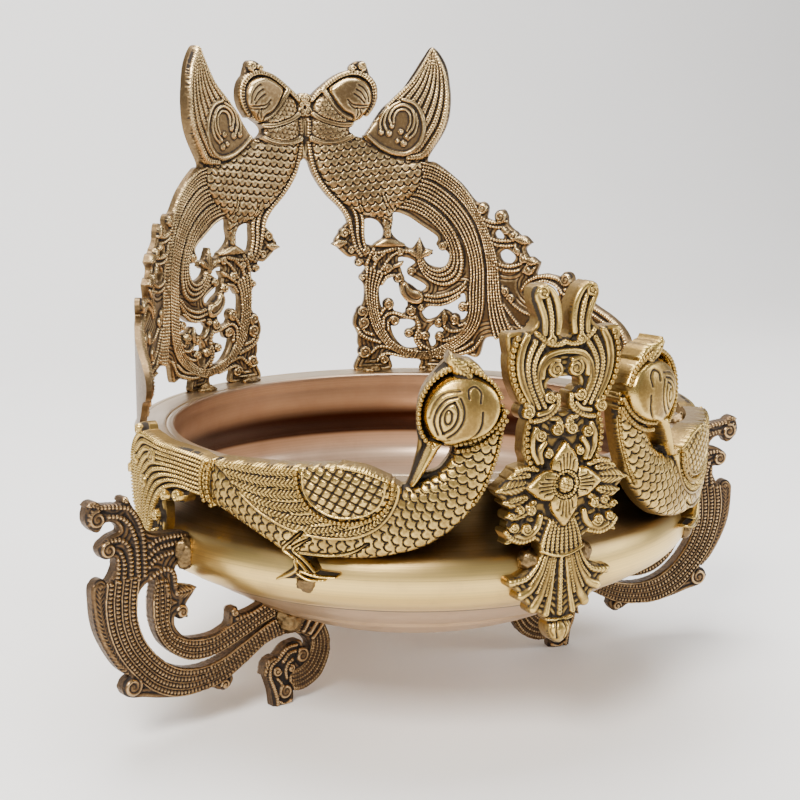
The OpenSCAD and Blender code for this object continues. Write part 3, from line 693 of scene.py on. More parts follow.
def draw_leg():
    """A leg: ribs curled round a slot, scrolls at its top and a foot that curls inwards."""
    d = Drawing(76, 300, -204, -14, LEG_CELL, 3.4)
    d.plate(LEG_OUTLINE)
    d.pierce(LEG_SLOT)
    d.contour_ribs(3.8, 1.6)
    bead = notches(3.0, 1.3)
    lo, hi = 3.8, 6.4
    corded_sheaf(d, (
        [(254, -77), (256.5, -95), (256.5, -110), (250.5, -127), (238, -143), (222, -154),
         (203, -157.5), (185, -155), (168, -148), (150, -140), (135, -135), (118, -134), (103, -138)],
        [(279, -79), (281, -95), (279, -113), (272, -132), (260, -149), (245, -164), (225, -173.5),
         (200, -174), (182, -170), (165, -161.5), (148, -152), (132, -148.5), (118, -149.5),
         (107, -155)],
    ), 4, lo, hi, bead)
    corded_sheaf(d, (
        [(232, -84), (229, -100), (231, -113), (228, -125), (218, -132.5), (205, -136), (192, -136),
         (180, -132), (165, -127), (150, -122), (138, -118)],
        [(240, -84), (242.5, -98), (242.5, -112), (239, -125), (230, -138), (216, -147.5), (200, -150),
         (184, -147.5), (168, -142), (152, -136), (136, -131)],
    ), 3, lo, hi, bead)
    corded_sheaf(d, (
        [(106, -150), (104, -162), (108, -172), (115, -178), (124, -179), (133, -176), (140, -171)],
        [(93, -146), (87.5, -160), (88, -174), (96, -188), (109, -195), (120, -195), (127, -189)],
    ), 5, lo, hi, notches(2.2, 0.6))
    d.band([(284.5, -80, 5.5), (285.5, -95, 5.5), (283.5, -110, 5.2), (278, -125, 4.4), (271, -139, 3),
            (265, -147, 1.4)], lo - 0.4, hi - 1, slanted(3.2, 1.1, 1.3, 0))
    d.ribs([
        [(249, -80, 2.2), (249, -62, 2.2), (250, -48, 2.3), (254, -37, 2.3), (260, -29, 2.2),
         (268, -26.5, 2.1), (277, -25, 2), (287, -24, 1.8)],
        [(254.5, -82, 2.2), (254.5, -62, 2.2), (256.5, -49, 2.2), (261, -39, 2.1), (268, -33.5, 2),
         (277, -31.5, 2)],
        [(260.5, -80, 2.2), (260, -66, 2.2), (262, -55, 2.2), (268, -49.5, 2.1), (277, -49, 2)],
        [(266, -78, 2.2), (265.5, -67, 2.1), (268, -58, 1.8)],
        [(272, -80, 2), (270, -70, 2), (270, -62, 1.6)],
        [(246, -82, 2.3), (238, -78.5, 2.3), (231, -77.5, 2.3), (225.5, -82, 2.2), (224, -92, 2.2)],
        [(247, -74, 2.2), (240, -69, 2.2), (231, -66.5, 2.2), (221, -67, 2.3), (209, -73, 2.4)],
        [(247, -67, 2.1), (240, -62, 2.2), (231, -60, 2.2), (220, -60.5, 2.3), (207, -65, 2.4)],
        [(246, -59, 2), (239, -55.5, 2.1), (230, -54.5, 2.1), (219, -55.5, 2.1), (209, -58.5, 2.1)],
        [(288, -25, 1.8), (291.5, -29, 1.8), (291, -35, 1.8)],
        [(136, -128.5, 2.2), (122, -126.5, 2.2), (108, -133, 2)],
        [(150, -123.5, 1.6), (162, -126, 1.8), (172, -127, 1.8)], [(232, -88, 2.6), (231, -96, 2.6)],
    ], lo, hi, bead)
    d.volutes([
        ((285.5, -32), 7.4, 100, -1.8), ((277.5, -55), 6.8, 90, -1.8), ((263, -22.8), 3, 0, 1),
        ((261.5, -157.5), 8, 150, 1.9), ((219.5, -111.5), 5.6, 30, 1.7), ((174, -122), 3.6, 90, -1.3),
        ((184, -175), 4.6, 0, 1.4), ((113.5, -169), 7, 20, 1.9), ((129.5, -194), 7.6, 60, -1.9),
        ((139, -175), 4.6, 200, 1.5),
    ], lo, hi + 0.3)
    d.ribs([
        [(223, -97, 3), (216, -97.5, 5), (207, -96, 0.6)],
        [(283, -24, 2), (288, -21.5, 2.6), (293, -22, 0.6)],
        [(139, -167, 3), (144, -170, 3.4), (147.5, -177, 1)],
    ], lo, hi, slanted(2.6, 0.8, 1.0, 0.7))
    draw_foot(d)
    d.edge = np.maximum(d.edge, bowl_radius(d.V) - LET_IN - d.U)
    return d


def draw_foot(d):
    """The scrolled block at the lower end of a leg, and the rings above it."""
    d.form([(117, -165), (116, -158.5), (126, -157), (136, -165), (144, -170), (145.5, -179), (141.5, -191),
            (138.5, -207), (123.5, -207), (121, -196), (126, -186), (122, -178), (119, -172)], 3.6, 4.6, 4)
    d.ribs([
        [(118, -159.5, 1.5), (127, -160, 1.7), (135, -166.5, 1.7), (142, -171, 1.5), (143.5, -179, 1.6),
         (139.5, -190, 1.7), (137, -199, 1.7), (136.5, -206, 1.5)],
        [(119, -164, 1.5), (126, -165, 1.7), (131, -170, 1.6)],
        [(122, -170, 1.3), (127, -173, 1.5), (129, -178, 1.4), (128, -184, 1.3)],
        [(137, -182, 1.4), (133, -188, 1.5), (136, -196, 1.2)],
        [(124, -202, 1.3), (130, -204, 1.4), (135, -201, 1.2)],
    ], 4, 6.8, notches(2.2, 0.9))
    d.volute((129.5, -193.5), 6.8, 60, -1.9, 4.4, 7)
    d.volute((137, -176), 4.6, 200, 1.5, 4.4, 6.8)
    d.volute((124, -177), 3.6, 90, 1.3, 4.4, 6.8)
    d.ribs([
        [(95, -139, 2.3), (100, -145.5, 2.3), (106, -152.5, 2)],
        [(102, -135, 2.3), (107, -142, 2.3), (112, -149.5, 2)],
        [(92, -145.5, 1.5), (97, -151, 1.5), (103.5, -157, 1.4)],
    ], 5.4, 7.6, over=True)


# ---- Swan: u from the middle of the front towards the side, v above the rim ----
SWAN_CELL = 0.62
SWAN_OUTLINE = [
    (47, 54), (56, 66), (69, 75), (77, 85), (84, 81), (92, 71), (99, 56), (100, 40), (99, 27), (105, 4),
    (110, 1), (117, 2), (133, 8), (152, 11), (184, 9.5), (240, 9), (251, 3), (260, 9), (303, 10),
    (324, 9), (333, 18), (352, 8), (363, -10), (360, -34), (352, -52), (340, -67), (322, -73),
    (309, -65), (305, -52), (304, -40), (305, -31), (290, -31), (278, -27), (270, -20), (254, -22),
    (236, -29), (213, -39), (197, -45), (186, -52), (184, -60), (194, -69), (172, -67), (150, -62),
    (168, -60), (169, -51), (160, -49), (134, -48.5), (108, -44), (92, -37), (74, -21), (60, -2),
    (50, 21), (45, 40)]
SWAN_GAP = [(77, 30), (88, 24), (97, 10), (86, 11), (78, 21)]


def draw_swan():
    """A swan from the side, whose tail trails off in scrolls."""
    d = Drawing(38, 370, -80, 92, SWAN_CELL, 6.5)
    d.plate(SWAN_OUTLINE)
    d.pierce(SWAN_GAP)
    d.contour_ribs(4.0, 1.8)
    draw_swan_body(d)
    draw_swan_wing(d)
    draw_swan_tail(d)
    draw_swan_foot(d)
    draw_swan_head(d)
    return d


def draw_swan_body(d):
    """The body and neck, under scales that follow the line of the back."""
    body = [
        (44, 46), (43.5, 34), (48, 14), (56, -6), (67, -21), (80, -32.5), (96, -41.5), (112, -46),
        (132, -49.5), (160, -50.5), (185, -50), (200, -43.5), (216, -36), (234, -28), (247, -23),
        (249, -8), (247, 4), (240, 8), (200, 9), (150, 10), (120, 2), (104, 0), (97, 4), (88, 8),
        (80, 16), (76, 25), (73, 34), (60, 40)]
    axis = [(58, 52, 20), (58, 34, 20), (63, 14, 20), (74, -6, 20), (92, -22, 20), (115, -32, 20),
            (145, -37, 20), (180, -34, 20), (215, -20, 20), (250, -8, 20)]
    win, off, run, _, _ = d.along(smooth_path(axis, 2), 60)
    pattern = np.zeros(d.U.shape)
    pattern[win] = scales(run, off, 5.9, 7.4, 2.2, 0.9)
    d.form(body, 8, 16, 17, pattern)


def draw_swan_wing(d):
    """The wing: rows of feathers, and a latticed disc at its shoulder."""
    wing = [(110, 1), (112, -10), (117, -20), (126, -29), (140, -34.5), (156, -35.5), (173, -34),
            (190, -29), (205, -21.5), (219, -11), (232, 0), (239, 8), (200, 10.5), (150, 12), (130, 8)]
    d.form(wing, 14, 17, 5)
    rows = [
        [(177, 7.5, 3.4), (195, 6.5, 3.6), (215, 6.5, 3.4), (235, 7, 2.2)],
        [(177, 0, 3.4), (195, -0.8, 3.6), (213, 0.2, 3.3), (231, 2.5, 1.8)],
        [(174, -7, 3.4), (190, -8.6, 3.6), (207, -7.5, 3.3), (224, -4, 1.8)],
        [(168, -14.5, 3.4), (184, -17, 3.6), (200, -15.5, 3.2), (216, -10.5, 1.8)],
        [(158, -21.5, 3.2), (172, -24.5, 3.4), (188, -23.5, 3.2), (206, -18, 1.8)],
        [(145, -26, 2.6), (158, -30.5, 3), (174, -30.5, 2.9), (192, -25.5, 1.8)],
        [(117, -12, 2.2), (122, -21, 2.8), (132, -28, 3), (146, -32.5, 2.6), (160, -34, 1.6)],
    ]
    for row in rows:
        d.band(row, 15, 18, slanted(2.9, 1.7, 0.9, 0.5), over=True, cut=False)
    disc = [(114, 3), (115, -7), (120, -15.5), (128, -21), (139, -24), (151, -24), (162, -20.5),
            (170, -13.5), (175, -4), (176.5, 7), (172, 11.5), (150, 13.5), (132, 10.5)]
    first = np.abs(np.cos(np.pi * (d.U * 0.86 + d.V * 0.5) / 5.6)) ** 16
    second = np.abs(np.cos(np.pi * (-d.U * 0.42 + d.V * 0.9) / 5.6)) ** 16
    d.form(disc, 15.5, 20, 14, -1.5 * (first + second))
    d.beads([(114.5, 3), (115.5, -7), (120.5, -15.5), (128.5, -21), (139, -24), (151, -24), (162, -20.5),
             (170, -13.5), (175, -4), (176.5, 7)], 15, 19.4, 1.6)
    d.band([(119, 4, 1), (120, -5, 1), (124, -12.5, 1), (131, -17.5, 1), (140, -20, 1), (151, -20, 1),
            (160, -16.5, 1), (167, -10.5, 1), (171, -3, 1), (172, 7, 1)], 17, 19.6, over=True, cut=False)
    d.band([(150, 13.2, 1.4), (133, 10.6, 1.6), (117, 4.5, 1.4)], 15, 18.5, notches(2.3, 1.0), over=True)
    d.band([(110.5, 1, 1.4), (112.5, -9, 1.5), (117.5, -19.5, 1.5), (126.5, -28.5, 1.5), (140, -34.3, 1.5),
            (156, -35.6, 1.5), (173, -34, 1.5), (190, -29, 1.4), (205, -21.5, 1.3), (219, -11, 1.2)], 14,
           16.8, over=True, cut=False)


def draw_swan_tail(d):
    """The tail: a sheaf of notched ribs with scrolls along it, and two beaded collars."""
    sheaf(d, (
        [(248, 6), (262, 8.5), (285, 9.5), (305, 10), (322, 12), (336, 12), (349, 4), (357, -9),
         (358, -26), (353, -44)],
        [(247, -21), (262, -20), (276, -19), (290, -21), (303, -28), (311, -37), (317, -47), (321, -56),
         (325, -64), (329, -70)],
    ), 9, 8.0, 13.6, notches(2.5, 1.9))
    d.volutes([
        ((313, -2), 6, 90, 1.8), ((328, -24), 5.5, 60, 1.7), ((281, -25), 5.4, 200, -1.7),
        ((297, -27.5), 4.6, 90, 1.5), ((335, 13.5), 4.6, 300, 1.5), ((310, -45), 4.6, 90, 1.5),
        ((312, -60), 5, 90, -1.6), ((324, -69), 4.6, 180, 1.5), ((343, -58), 4.8, 0, 1.5),
        ((356, -20), 4.8, 300, 1.6), ((342, -10), 4.6, 0, -1.5),
    ], 10, 14.6)
    for ring in ([(243, 7), (246, -2), (247, -12), (243.5, -24)],
                 [(249.5, 4.5), (252.5, -3), (253, -12), (250, -21.5)]):
        d.beads(ring, 12, 16.8, 1.7)


def draw_swan_foot(d):
    """The bent leg and foot, under the body."""
    d.ribs([
        [(130, -38, 1.3), (140, -44.5, 1.5), (152, -48, 1.6), (166, -48.5, 1.6), (181, -48, 1.5)],
        [(174, -33, 1.5), (181, -39.5, 1.7), (188, -46.5, 1.6), (183, -50.5, 1.6), (176, -55.5, 1.7),
         (171, -61, 1.6)],
        [(168, -37, 1.3), (176, -42, 1.6), (181, -46.5, 1.5), (175, -51.5, 1.6), (170, -56, 1.6),
         (166, -60.5, 1.5)],
        [(180, -54, 1.6), (179, -60, 1.7), (185, -64.5, 1.6), (193, -68.5, 1)],
        [(176, -61, 1.6), (165, -63.5, 1.6), (152, -63.5, 1.2)],
        [(178, -63, 1.6), (170, -66.5, 1.4), (160, -66, 1)],
    ], 8.5, 14, over=True)


def draw_swan_head(d):
    """The head, bill and eye, with beads round the face and down the neck."""
    head = [(47, 52), (48, 61), (53, 68.5), (61, 73.5), (70, 75.5), (79, 74.5), (87, 70), (93, 62),
            (96, 52), (95, 42), (91, 33.5), (85, 28.5), (78, 28), (71, 31), (64, 32.5), (56, 36), (50, 43)]
    d.dome(head, (71, 51.5), (27, 25), 15, 27)
    d.form([(83, 31), (91, 33), (94, 27), (98, 17), (102.5, 6), (104, 1.5), (101, 1), (96, 8), (90.5, 17),
            (86, 25)], 11, 20, 5)
    d.engrave([(92, 28), (96, 19), (101, 6)], 1.4, 0.5)
    d.beads([(47.5, 60), (52, 68.5), (60, 75), (69, 79), (76, 80.5), (83, 77.5), (90.5, 71.5), (96, 62.5),
             (98.5, 52), (98, 41.5), (94.5, 33.5), (90, 29)], 14.5, 20.5, 1.7)
    d.beads([(44.5, 53), (44.5, 40), (46.5, 26), (50.5, 12), (56.5, -2), (63, -12)], 9, 14, 1.5)
    d.beads([(43.5, 50), (49, 42), (57, 35.5), (66, 31.5), (75.5, 29.5)], 14, 19.5, 1.7)
    d.beads([(43.5, 44), (49.5, 36.5), (57.5, 30), (66, 26), (74, 25)], 13, 18.6, 1.7)
    d.band([(68, 75, 4), (73.5, 80, 6), (78, 84.5, 4), (79, 89, 0.8)], 14, 21, slanted(3, 0.8, 1.0, 0.8))
    d.band([(60, 76, 2.6), (66, 81, 3.4), (71, 84, 1)], 14, 19, slanted(3, 0.6, 1.0, 0.6))
    for g, depth in (
            ([(62, 58), (61.5, 64.5), (65, 68.5), (69, 66.5), (69, 61)], 1.4),
            ([(60.5, 52), (61, 44), (63.5, 38), (68, 33.5)], 1.6),
            ([(77.5, 59), (75.6, 54), (76, 48), (79, 42), (84, 38)], 1.8),
            ([(77.5, 59), (82, 56.5), (85.5, 51), (86, 44.5), (84, 38)], 1.8),
            ([(74, 61.5), (72, 55), (72.5, 47), (76, 40), (81.5, 35)], 1.5),
            ([(76, 62.5), (82.5, 60.5), (87.5, 54.5), (89.5, 46), (87, 37)], 1.5),
            ([(79, 52), (81, 54), (83, 51.5), (83.2, 47), (81.5, 44.5), (79.5, 47), (79, 52)], 1.5),
            ([(74, 66), (83, 64.5), (89.5, 58), (92.5, 49)], 0.9),
            ([(88, 33), (84, 32), (80, 33.5)], 1.0)):
        d.engrave(g, depth, 0.6)


# ---- Crest: u from its middle, v above the rim, and everything is drawn on both sides ----
CREST_CELL = 0.55
CREST_HALF = [
    (3, 97), (6, 112), (8, 126), (15, 131), (25, 129), (25, 119), (21, 108), (27, 101), (36, 101),
    (44, 99), (42, 84), (40, 68), (35, 56), (28, 47), (29, 36), (31, 22), (29, 12), (38, 7), (50, -3),
    (44, -11), (39, -20), (42, -32), (39, -39), (22, -40), (13, -48), (20, -58), (37, -67), (30, -78),
    (20, -90), (9, -96), (9, -106), (5, -113)]
CREST_GAP_HALF = [(10, 68), (12, 60), (8, 52), (4, 46)]


def flip(points):
    """The points on the crest's other side."""
    return [(-p[0],) + tuple(p[1:]) for p in points]


def draw_crest():
    """The whole crest: ribs, beads, scrolls and leaves round a flower."""
    d = Drawing(-54, 54, -117, 134, CREST_CELL, 8.6)
    d.plate(CREST_HALF + flip(CREST_HALF)[::-1])
    d.pierce(CREST_GAP_HALF + flip(CREST_GAP_HALF)[::-1])
    d.contour_ribs(3.8, 2.0)
    bead = notches(2.4, 0.8)
    lo, hi = 10, 13.8
    ribs = [
        ([(6.5, 99, 2), (5.5, 108, 2.4), (7, 118, 2.4), (11, 126, 2.2), (16, 130, 1.6)], None),
        ([(11.5, 97, 1.9), (11.5, 107, 2), (13, 116, 2), (15, 123, 1.6)], bead),
        ([(16.5, 99, 2), (16.5, 108, 2.1), (19.5, 117, 2.2), (22.5, 124, 2),
          (21, 129, 1.8)], lengthwise(2, 0.9)),
        ([(29.5, 98, 2.6), (33.5, 90, 3.2), (35, 79, 3.2), (32.5, 67, 3.1), (28, 57.5, 2.4),
          (25, 52, 1.8)], lengthwise(2, 1.3)),
        ([(23, 94, 1.9), (27.5, 85, 2), (29, 76, 2.1), (27, 65, 2), (23, 56, 1.8),
          (20, 50, 1.5)], bead),
        ([(17, 92, 1.8), (22, 84.5, 1.9), (24.5, 76, 2), (23, 66.5, 1.9), (19, 57, 1.7),
          (15, 50, 1.5)], bead),
        ([(0, 86.5, 2), (7, 86, 2.2), (14.5, 83.5, 2.3), (19.5, 77, 2.2), (20.5, 68, 2.1),
          (17, 58, 1.8)], lengthwise(2, 1.1)),
        ([(17.5, 70, 1.6), (16.5, 77, 2), (11, 81, 2), (5.5, 80.5, 1.8)], None),
        ([(22, 99, 1.8), (17.5, 95.5, 2), (12, 92, 2), (5, 91, 1.8), (0, 92.5, 1.6)], bead),
        ([(5, 57, 1.8), (5.5, 50.5, 2.2), (10, 45.5, 2.2), (17, 42, 2), (23, 41, 1.8)], bead),
        ([(9, 51, 1.6), (13, 47, 1.8), (20, 45.5, 1.7)], None),
        ([(21.5, 36, 1.8), (24, 30, 2), (24, 21, 2), (20, 13, 1.8)], None),
        ([(10, 42, 1.6), (5, 41, 2), (1.5, 36, 1.8)], bead),
        ([(15, 26, 2), (18.5, 20, 2.2), (17, 13, 2)], None),
        ([(36, 9, 1.6), (28, 10, 1.8), (20, 8, 1.6)], bead),
        ([(22, -38, 2), (31, -39.5, 2.2), (39, -36.5, 2), (43, -32, 1.6)], bead),
        ([(17, -24, 2), (20, -32, 2.3), (28, -37, 2), (36, -35, 1.6)], None),
    ]
    for rib, pattern in ribs:
        stout = [(u, v, 1.22 * half) for u, v, half in rib]
        d.ribs((stout, flip(stout)), lo, hi, pattern)
    for border, radius in (([(37, 97), (40.5, 88), (41, 79), (38.5, 67), (33.5, 58), (30, 53)], 2.1),
                           ([(26.5, 42), (28.5, 36), (29, 27), (27.5, 17), (24, 10)], 1.9)):
        d.beads(border, lo - 0.5, hi + 0.4, radius)
        d.beads(flip(border), lo - 0.5, hi + 0.4, radius)
    for c, r, a, n in (
            ((19, 126), 5.2, 60, 1.7), ((7.6, 75), 6.8, 60, -2), ((12, 57), 5.2, 180, 1.7),
            ((28.5, 48), 5.6, 90, 1.8), ((11, 94.5), 4.2, 300, 1.4), ((6, 34.5), 5.4, 90, 1.8),
            ((18, 31.5), 5.2, 60, -1.7), ((12.5, 18.5), 4.2, 90, 1.5), ((28, -31), 5, 200, 1.8),
            ((37.5, -29), 4.2, 0, -1.6), ((25, -19), 4.4, 60, 1.6), ((33, -18), 3.8, 0, 1.4),
            ((40, -21.5), 3.4, 0, 1.2)):
        d.volute(c, r, a, n, lo, hi + 0.6)
        d.volute((-c[0], c[1]), r, 180 - a, -n, lo, hi + 0.6)
    leaves = [
        [(27, -1, 3), (38, -2, 6.5), (51, -3.5, 0.6)],
        [(27, 5, 2.5), (34, 6, 4.8), (42, 4.5, 0.8)],
        [(29, -10, 3), (37, -12.5, 5), (45, -12, 1)],
        [(22, -14, 2.5), (30, -20, 4.4), (39, -24, 1)],
        [(33, -33, 2.5), (38, -36, 3.4), (42.5, -40, 0.6)],
    ]
    for leaf in leaves:
        d.ribs((leaf, flip(leaf)), lo - 0.5, hi - 0.4, slanted(3.2, 0.7, 1.0, 1.2))
    draw_crest_skirt(d, bead)
    draw_flower(d)
    return d


def draw_crest_skirt(d, bead):
    """The lower half of the crest: short ribs, long lobes and a drop at the tip."""
    for k in range(9):
        x = (k - 4) / 4
        d.band([(9 * x, -28, 1.5), (13 * x, -38, 1.8), (15.5 * x, -49 - 2 * (1 - x * x), 1.9)], 9.5, 13.4,
               bead)
    lobes = [
        ([(14.5, -50, 1.3), (19, -59, 1.8), (26, -66, 2.6), (37.5, -68, 3.4)], slanted(3, 0.5, 0.6, 0)),
        ([(11, -52, 1.6), (15.5, -64, 2.4), (22.5, -74, 3.4), (30, -78, 3.6)], None),
        ([(7.5, -53, 1.7), (10.5, -66, 2.5), (15, -79, 3.4), (20.5, -88, 4)], None),
        ([(4.2, -53, 1.3), (6, -66, 1.6), (8, -80, 2.2), (10.5, -93, 3)], lengthwise(2, 1)),
    ]
    strands = [[(12.8, -52, 0.9), (17, -62, 1), (23.5, -70.5, 1)],
               [(9, -53, 0.9), (12.7, -65, 1.1), (18, -77, 1.1)],
               [(5.8, -53, 1), (8.2, -66, 1.1), (11.2, -80, 1.2)]]
    for lobe, pattern in lobes:
        d.ribs((lobe, flip(lobe)), 8.6, 12.8, pattern)
    for strand in strands:
        d.ribs((strand, flip(strand)), 10.5, 13.2, notches(2, 0.9))
    d.band([(0, -53, 1.5), (0, -70, 1.8), (0, -94, 2.2)], 10, 13.6, bead)
    d.band([(-16, -48, 1.3), (-8, -51.5, 1.4), (0, -52.8, 1.4), (8, -51.5, 1.4), (16, -48, 1.3)], 11, 14.2,
           over=True)
    d.band([(-9, -97, 1.4), (0, -98.5, 1.5), (9, -97, 1.4)], 10, 13.5, over=True)
    d.form([(-8.5, -100), (0, -98), (8.5, -100), (9.3, -106), (6, -112), (0, -115.5), (-6, -112),
            (-9.3, -106)], 8.5, 15, 8)
    for s in (1, -1):
        d.engrave([(s * 2.4, -99.5), (s * 4, -105), (s * 2.6, -111)], 1.4, 0.6)
        d.engrave([(s * 6.2, -100.5), (s * 7.4, -105), (s * 5.4, -109)], 1.0, 0.5)


FLOWER_V = -3  # height of the flower's middle
PETAL = [(2, -6), (9, -10.5), (17, -10), (24, -5.5), (29.5, 0), (24, 5.5), (17, 10), (9, 10.5), (2, 6)]


def quarter_turned(points, quarters):
    """Points round the flower's middle, swung by some quarter turns."""
    c, s = (1, 0, -1, 0)[quarters], (0, 1, 0, -1)[quarters]
    return [(c * x - s * y, FLOWER_V + s * x + c * y) for x, y in points]


def ring_of(radius):
    """Seventeen points round the flower's middle, of which the last closes the ring."""
    turn = np.linspace(0, 2 * math.pi, 17)
    return [(radius * math.cos(a), FLOWER_V + radius * math.sin(a)) for a in turn]


def draw_flower(d):
    """Four petals round a hatched button."""
    for k in range(4):
        d.form(quarter_turned(PETAL, k), 12.4, 17, 5)
        for y, end in ((-4.6, 15), (-2.3, 19), (0, 21.5), (2.3, 19), (4.6, 15)):
            vein = [(8.5, y * 0.8), ((8.5 + end) / 2, y), (end, y * 1.1)]
            d.engrave(quarter_turned(vein, k), 1.3, 0.45)
        for y, end in ((-4.9, 15.5), (4.9, 15.5), (-2.5, 19.5), (2.5, 19.5)):
            hook = [(end - 1, y), (end + 1.2, y * 1.15), (end + 1, y * 1.5)]
            d.engrave(quarter_turned(hook, k), 1.1, 0.5)
    d.band([(u, v, 1.6) for u, v in ring_of(9)], 13, 16.6, notches(2.2, 1.2), over=True, cut=False)
    d.form(ring_of(7.2)[:-1], 12.5, 14, 2)
    upright = np.abs(np.cos(np.pi * d.U / 2.6)) ** 6
    level = np.abs(np.cos(np.pi * (d.V + 0.4 * d.U) / 2.6)) ** 6
    d.form(ring_of(6.2)[:-1], 14, 19, 5, -0.7 * (upright + level))


# ---- From flat drawings to castings in place ----

def in_frame(x, y, v):
    """Millimetres from the bowl's axis and rim, as metres in the frame."""
    return np.stack([x, y + AXIS_Y, v + RIM_Z], axis=-1) * MM


PEACOCK_BACK_R = 213  # radius of the peacocks' outer faces, which are plain
PEACOCK_MID_R = 209  # radius at which their drawing keeps its length
SWAN_BACK_R = 212
SWAN_MID_R = 218.5
SWAN_HEAD_AT = (70, 49)  # middle of a swan's head in its drawing
SWAN_HEAD_R = 27
SWAN_HEAD_BACK = 11  # how far the head swells inwards
CREST_BACK_Y = 211
FITTED_BELOW = -6  # backs are fitted against the bowl from here down
EDGE_DROP = 0.8  # how far the edge of a casting lies below its face
RELIEF_BLUR = 1.7  # relief is how far a point stands above its surroundings of about this size
LEG_ANGLES = {"leg_left": 194, "leg_right": -6, "leg_back": 90}  # degrees, from the x axis


def peacock_place(side):
    """Bends the peacock's drawing along the rim, facing inwards, on the right or, for -1, on the left."""
    def place(u, v, h):
        angle = math.pi / 2 - (u - PEACOCK_U) / PEACOCK_MID_R
        r = PEACOCK_BACK_R - h
        return in_frame(side * r * np.cos(angle), r * np.sin(angle), v)
    return place


def swan_place(side):
    """Bends the swan's drawing round the bowl, facing outwards, on the right or, for -1, on the left."""
    def place(u, v, h):
        angle = u / SWAN_MID_R - math.pi / 2
        r = SWAN_BACK_R + h
        return in_frame(side * r * np.cos(angle), r * np.sin(angle), v)
    return place


def crest_place(u, v, h):
    """Stands the crest's drawing upright in front of the bowl."""
    return in_frame(u, -(CREST_BACK_Y + h), v)


def leg_place(degrees):
    """Stands the leg's drawing upright, pointing away from the axis."""
    c, s = math.cos(math.radians(degrees)), math.sin(math.radians(degrees))

    def place(u, v, h):
        return in_frame(u * c - h * s, u * s + h * c, v)
    return place


def snapped(drawing, kept):
    """The grid's points, with those at the outline moved onto it."""
    reach = 0.8 * drawing.cell
    edge = drawing.edge
    dv, du = np.gradient(edge, drawing.cell)
    steep = np.maximum(du ** 2 + dv ** 2, 0.25)
    touched = np.zeros(edge.shape, int)
    for i in (0, 1):
        for j in (0, 1):
            touched[i:i + kept.shape[0], j:j + kept.shape[1]] += kept
    rim = (touched > 0) & (touched < 4)
    move_u = np.where(rim, np.clip(-edge * du / steep, -reach, reach), 0)
    move_v = np.where(rim, np.clip(-edge * dv / steep, -reach, reach), 0)
    return drawing.U + move_u, np.maximum(drawing.V + move_v, -RIM_Z), touched > 0, rim


def coarse_back(kept, rim, block=4):
    """Faces of the plain back: whole blocks of the grid become one face each, and the rest stays fine."""
    rows, cols = kept.shape
    whole = np.zeros(kept.shape, bool)
    starts = []
    for i in range(0, rows - block + 1, block):
        for j in range(0, cols - block + 1, block):
            if kept[i:i + block, j:j + block].all():
                starts.append((i, j))
                whole[i:i + block, j:j + block] = True
    fine = kept & ~whole
    used = np.zeros((rows + 1, cols + 1), bool)
    for i in (0, 1):
        for j in (0, 1):
            used[i:i + rows, j:j + cols] |= fine
    used |= rim
    faces = []
    for i, j in starts:
        steps = range(block)
        ring = [(i, j + k) for k in steps] + [(i + k, j + block) for k in steps]
        ring += [(i + block, j + block - k) for k in steps] + [(i + block - k, j) for k in steps]
        corners = {(i, j), (i, j + block), (i + block, j + block), (i + block, j)}
        faces.append([p for p in ring if p in corners or used[p]])
    return faces, fine


def quads_of(mask, number):
    """A face for each marked cell of the grid, from its corners' numbers."""
    i, j = np.nonzero(mask)
    return np.stack([number[i, j], number[i, j + 1], number[i + 1, j + 1], number[i + 1, j]], axis=1)


def wall_quads(kept, front, back):
    """Side faces, which join the front's outline to the back's."""
    wide = np.pad(kept, 1)
    inner = wide[1:-1, 1:-1]
    out = []
    sides = ((-1, 0, (0, 0), (0, 1)), (0, 1, (0, 1), (1, 1)), (1, 0, (1, 1), (1, 0)),
             (0, -1, (1, 0), (0, 0)))
    for di, dj, a, b in sides:
        beyond = wide[1 + di:wide.shape[0] - 1 + di, 1 + dj:wide.shape[1] - 1 + dj]
        i, j = np.nonzero(inner & ~beyond)
        p, q = (i + a[0], j + a[1]), (i + b[0], j + b[1])
        out.append(np.stack([front[q], front[p], back[p], back[q]], axis=1))
    return np.vstack(out)


def face_arrays(*groups):
    """Loop starts and corners for groups of faces, each an array of quads or a list of rings."""
    counts, corners = [], []
    for group in groups:
        for face in (group if isinstance(group, list) else []):
            counts.append(len(face))
            corners.extend(face)
        if not isinstance(group, list):
            counts.extend([group.shape[1]] * len(group))
            corners.extend(group.ravel().tolist())
    starts = np.concatenate([[0], np.cumsum(counts)[:-1]])
    return starts.astype(np.int32), np.array(corners, np.int32)


def mesh_from(name, points, starts, corners):
    """A mesh from its points, each face's first loop and each loop's point."""
    mesh = bpy.data.meshes.new(name)
    mesh.vertices.add(len(points))
    mesh.vertices.foreach_set("co", points.astype(np.float32).ravel())
    mesh.loops.add(len(corners))
    mesh.polygons.add(len(starts))
    mesh.polygons.foreach_set("loop_start", starts)
    mesh.polygons.foreach_set("vertices", corners)
    mesh.update(calc_edges=True)
    mesh.validate()
    return mesh


def outward(mesh):
    """Turns a closed mesh's faces outwards."""
    shell = bmesh.new()
    shell.from_mesh(mesh)
    if shell.calc_volume(signed=True) < 0:
        bmesh.ops.reverse_faces(shell, faces=shell.faces)
        shell.to_mesh(mesh)
    shell.free()


